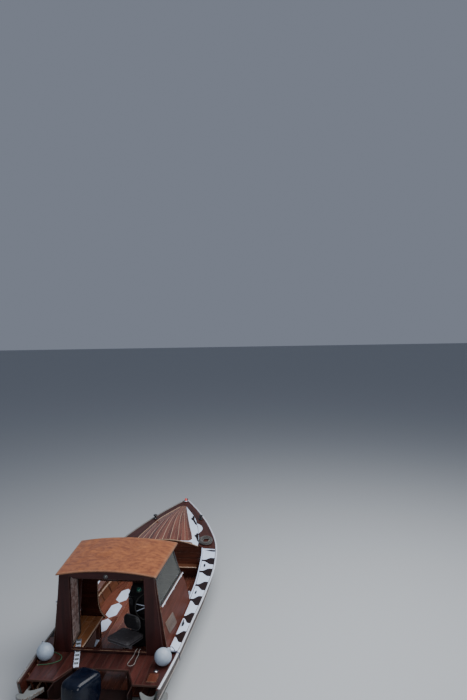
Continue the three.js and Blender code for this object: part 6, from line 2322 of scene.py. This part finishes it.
for share in spread(0.0, 1.0, 8):
    fore, aft, z, half = lean(-0.09, -0.155, share), lean(-0.222, -0.23,
        share), PROP_Z - 0.03 - 0.145 * share, lean(0.009, 0.0035, share)
    chord = fore - aft
    skeg.append([in_motor(fore, 0, z)] + [in_motor(fore - chord * c, half * w, z)
        for c, w in ((0.06, 0.5), (0.25, 1), (0.6, 0.8))] + [in_motor(aft, 0, z)]
        + [in_motor(fore - chord * c, -half * w, z) for c, w in ((0.6, 0.8), (0.25, 1), (0.06, 0.5))])
gear.skin(skeg, True, 0, 0.5)
gear.build("motor_gearcase", motor_casting, "motor", ["gearcase"], "motor_paint")

fittings = Pile()
for y in (-1, 1):
    for k in range(4):
        x = -0.135 - 0.016 * k
        fittings.tube([in_motor(x, y * 0.0345, z) for z in (-0.29, -0.315, -0.335)], 0.0035, 6)
fittings.plate([(-0.3, -0.012), (-0.235, -0.02), (-0.235, 0.02), (-0.3, 0.012)], -0.262, -0.2375, in_motor,
    0.004)
for x, z in ((-0.1, 0.05), (-0.2, 0.05), (-0.1, -0.14), (-0.2, -0.14)):
    for y in (-1, 1):
        fittings.lathe(head(0.008, 0.005, 0.006, 0.007), MOTOR_AT @ put((x, y * 0.0365, z), -y * pi / 2, "X"),
            6)
fittings.build("motor_fittings", steel_screw, "motor", slot="motor_paint")

# %% [markdown]
# A propeller blade is a wing whose angle changes with the radius, because the tip travels further than
# the root in the same turn. Each section is set at the angle that gives one common pitch.

# %% Propeller
PROP_AT = MOTOR_AT @ Matrix.Translation((-0.322, 0, PROP_Z))
PROP_R, PROP_PITCH = 0.1665, 0.3
prop = Pile()
prop.lathe([(0.0001, -0.048), (0.02, -0.046), (0.032, -0.04), (0.038, -0.03), (0.038, 0.03), (0.036, 0.044),
    (0.03, 0.048), (0.0001, 0.048)], PROP_AT @ Matrix.Rotation(pi / 2, 4, "Y"), 32)
for a in (0, 120, 240):
    turned_by = Matrix.Rotation(radians(a), 4, "X")
    rings = []
    for r, chord, skew in ((0.03, 0.06, 0.0), (0.05, 0.082, 0.002), (0.08, 0.106, 0.004),
            (0.11, 0.112, 0.000), (0.135, 0.096, -0.008), (0.152, 0.07, -0.016), (0.163, 0.036, -0.022),
            (PROP_R, 0.012, -0.025)):
        pitch = atan2(PROP_PITCH, 2 * pi * r)
        thick = lean(0.0085, 0.0022, (r - 0.03) / 0.1365)
        ring = []
        for s, n in ((0.5, 0.15), (0.3, 0.8), (0, 1), (-0.3, 0.7), (-0.5, 0.1), (-0.3, -0.2), (0, -0.3),
                (0.3, -0.25)):
            across, up = skew + chord * s, thick * n
            angle = (across * cos(pitch) - up * sin(pitch)) / r
            x = across * sin(pitch) + up * cos(pitch)
            ring.append(PROP_AT @ (turned_by @ Vector((x, r * sin(angle), r * cos(angle)))))
        rings.append(ring)
    prop.skin(rings, True, a, 0.5)
prop.build("propeller_blades", motor_casting, "propeller", ["propeller"], "motor_paint", 45)

# %% Clamp and swivel brackets
TILT_X, TILT_Z = -3.556, 0.335
side_arm = [(0.082, -0.065), (0.082, -0.105), (0.094, -0.105), (0.094, -0.053), (0.026, -0.053),
    (0.026, 0.012), (0.014, 0.028), (-0.012, 0.03), (-0.024, 0.018), (-0.026, 0.0), (-0.0, -0.345),
    (0.035, -0.345), (0.035, -0.065)]
clamp = Pile()
for y in (-0.105, 0.105):
    clamp.plate([(TILT_X + x, TILT_Z + z) for x, z in side_arm], y - 0.013, y + 0.013,
        lambda x, z, out: (x, out, z), 0.003)
    bolt_at = put((TILT_X, copysign(0.118, y), TILT_Z), -copysign(pi / 2, y), "X")
    clamp.lathe(head(0.017, 0.009, 0.014, 0.011), bolt_at, 6, coat=1)
    for z in (-0.15, -0.29):
        bolt_at = put((TILT_X + 0.008 + z * -0.02, y, TILT_Z + z), -pi / 2, "Y")
        clamp.lathe(head(0.012, 0.007, 0.009, 0.009), bolt_at, 6, coat=1)
clamp.tube([(TILT_X, y, TILT_Z) for y in (-0.118, 0, 0.118)], 0.012, 16, coat=1)
clamp.straight(1, (-0.1, 0, 0.1), (TILT_X - 0.006, TILT_Z - 0.345), (TILT_X + 0.035, TILT_Z - 0.321), 0.003)
clamp.build("clamp_arms", [motor_casting, steel_screw], stands_for=["clamp_bracket"], slot="motor_paint")
dress("swivel_bracket", motor_casting)
print("propeller:", round(2 * PROP_R, 3), "m across, pitch", PROP_PITCH, "m")

# %% [markdown]
# ## Deck gear
#
# The last pieces are small, and people know them well: two white ball fenders with their moulded necks, a
# boarding plank with strips against slipping, a cleat, two bollards and the red lamp on the stem.

# %% Fenders
FENDER_R = 0.122
neck = Vector((0.72, 0.5, 0.4813)).normalized()
aim_at = Matrix.Translation((-2.78, 0.862, 0.624)) @ neck.to_track_quat("Z", "Y").to_matrix().to_4x4()
profile = [(0.0001, -FENDER_R)]
for a in spread(-86, 68, 40):
    ridge = 0.0012 if abs(a) < 1.5 else 0.0
    profile.append(((FENDER_R + ridge) * cos(radians(a)), FENDER_R * sin(radians(a))))
profile += [(0.037, 0.117), (0.03, 0.121), (0.0265, 0.127), (0.026, 0.132), (0.0272, 0.134), (0.0272, 0.137),
    (0.0255, 0.139), (0.0255, 0.1465), (0.022, 0.148), (0.0001, 0.148)]
ball = Pile().lathe(profile, aim_at, 56)
ball.tube([aim_at @ Vector((0.0, 0.0245 * cos(a), 0.1445 + 0.004 * sin(a))) for a in turns(4)[:2]], 0.002, 6)
ball.both("ball_fender_{}", fender_skin, "fender_{}", slot="fender_rubber")
eye = Pile().lathe([(0.0001, 0), (0.0125, 0), (0.0125, 0.0012), (0.0001, 0.0012)],
    aim_at @ Matrix.Translation((0, 0, 0.1478)), 20)
eye.both("fender_eye_{}", black_rubber, slot="black_paint")

# %% Boarding plank
plank_at = put((-2.577, 0.462, 0.503), radians(16.8), "Z")
board = Pile().plate(rounded(0.786, 0.078, 0.008, 3), 0.0, 0.018, inside(plank_at), 0.003)
strips = Pile()
for k in range(7):
    x = -0.33 + 0.11 * k
    strips.plate(oblong(x, -0.03, x + 0.055, 0.03), 0.0177, 0.0192, inside(plank_at), 0.0004, offset=k)
board.build("boarding_board", white_paint, stands_for=["boarding_plank"], slot="white_paint")
strips.build("grip_strips", pale_paint, slot="white_paint")

# %% Cleat, bollards and bow lamp
CLEAT_X = -1.7
deck_slope = atan(SHEER_SLOPE + 2 * SHEER_CURVE * CLEAT_X)
cleat_at = put((CLEAT_X, -0.925, sheer(CLEAT_X) + 0.001), -deck_slope, "Y")
cleat = Pile().plate(rounded(0.1, 0.032, 0.012, 4), 0.0, 0.006, inside(cleat_at), 0.0015)
horn = smooth_line([(-0.075, 0, 0.037), (-0.045, 0, 0.0345), (0, 0, 0.034), (0.045, 0, 0.0345),
    (0.075, 0, 0.037)], 4)
cleat.tube([cleat_at @ p for p in horn], [0.006 + 0.0035 * sin(pi * k / 16) for k in range(17)], 12)
for x in (-0.028, 0.028):
    cleat.lathe([(0.0001, 0.003), (0.015, 0.004), (0.011, 0.01), (0.009, 0.02), (0.01, 0.034),
        (0.0001, 0.036)], cleat_at @ Matrix.Translation((x, 0, 0)), 16)
cleat.build("deck_cleat_casting", black_plastic, stands_for=["deck_cleat"], slot="black_paint")

for side, turn in (("port", 1), ("starboard", -1)):
    at = Matrix.Translation((2.35, turn * 0.5, 0.847))
    bollard = Pile().lathe([(0, 0), (0.042, 0), (0.042, 0.005), (0.038, 0.009), (0.026, 0.013), (0.022, 0.02),
        (0.02, 0.035), (0.02, 0.056), (0.026, 0.062), (0.038, 0.066), (0.042, 0.072), (0.042, 0.08),
        (0.038, 0.087), (0.024, 0.0925), (0, 0.094)], at, 32)
    for a in turns(4):
        bollard.lathe([(0, 0), (0.005, 0), (0.004, 0.002), (0, 0.003)],
            at @ Matrix.Translation((0.034 * cos(a + 0.4), 0.034 * sin(a + 0.4), 0.008)), 10, coat=1)
    bollard.build("bollard_casting_" + side, [black_plastic, steel_screw], stands_for=["bollard_" + side],
        slot="black_paint")

lamp_x = BOW - 0.06
at = Matrix.Translation((lamp_x, 0, sheer(lamp_x) + 0.012))
lamp_base = Pile().lathe([(0, 0), (0.034, 0), (0.034, 0.006), (0.031, 0.01), (0.0295, 0.0125), (0, 0.0125)],
    at, 32)
lamp_base.build("bow_lamp_base", white_paint, slot="white_paint")
lens = [(0, 0.012)]
for k in range(9):
    z = 0.0125 + 0.0045 * k
    lens += [(0.0272, z), (0.0284, z + 0.0015), (0.0272, z + 0.003)]
lens += [(0.0262, 0.0545), (0.0222, 0.0605), (0.014, 0.0645), (0, 0.066)]
Pile().lathe(lens, at, 32).build("bow_lamp_lens", lamp_glass, stands_for=["bow_lamp"], slot="lamp_red")
print("fender:", round(2 * FENDER_R, 3), "m across")

# %% [markdown]
# ## Measure
#
# The dressed boat has to stay inside the solid model's box, so both boxes are written down together.

# %% Measure and finish
visual_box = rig.bounds()
json.dump({"cad": [list(c) for c in cad_box], "visual": [list(c) for c in visual_box]}, open("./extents.json", "w"))
print("visual box:", [[round(v, 3) for v in c] for c in visual_box])
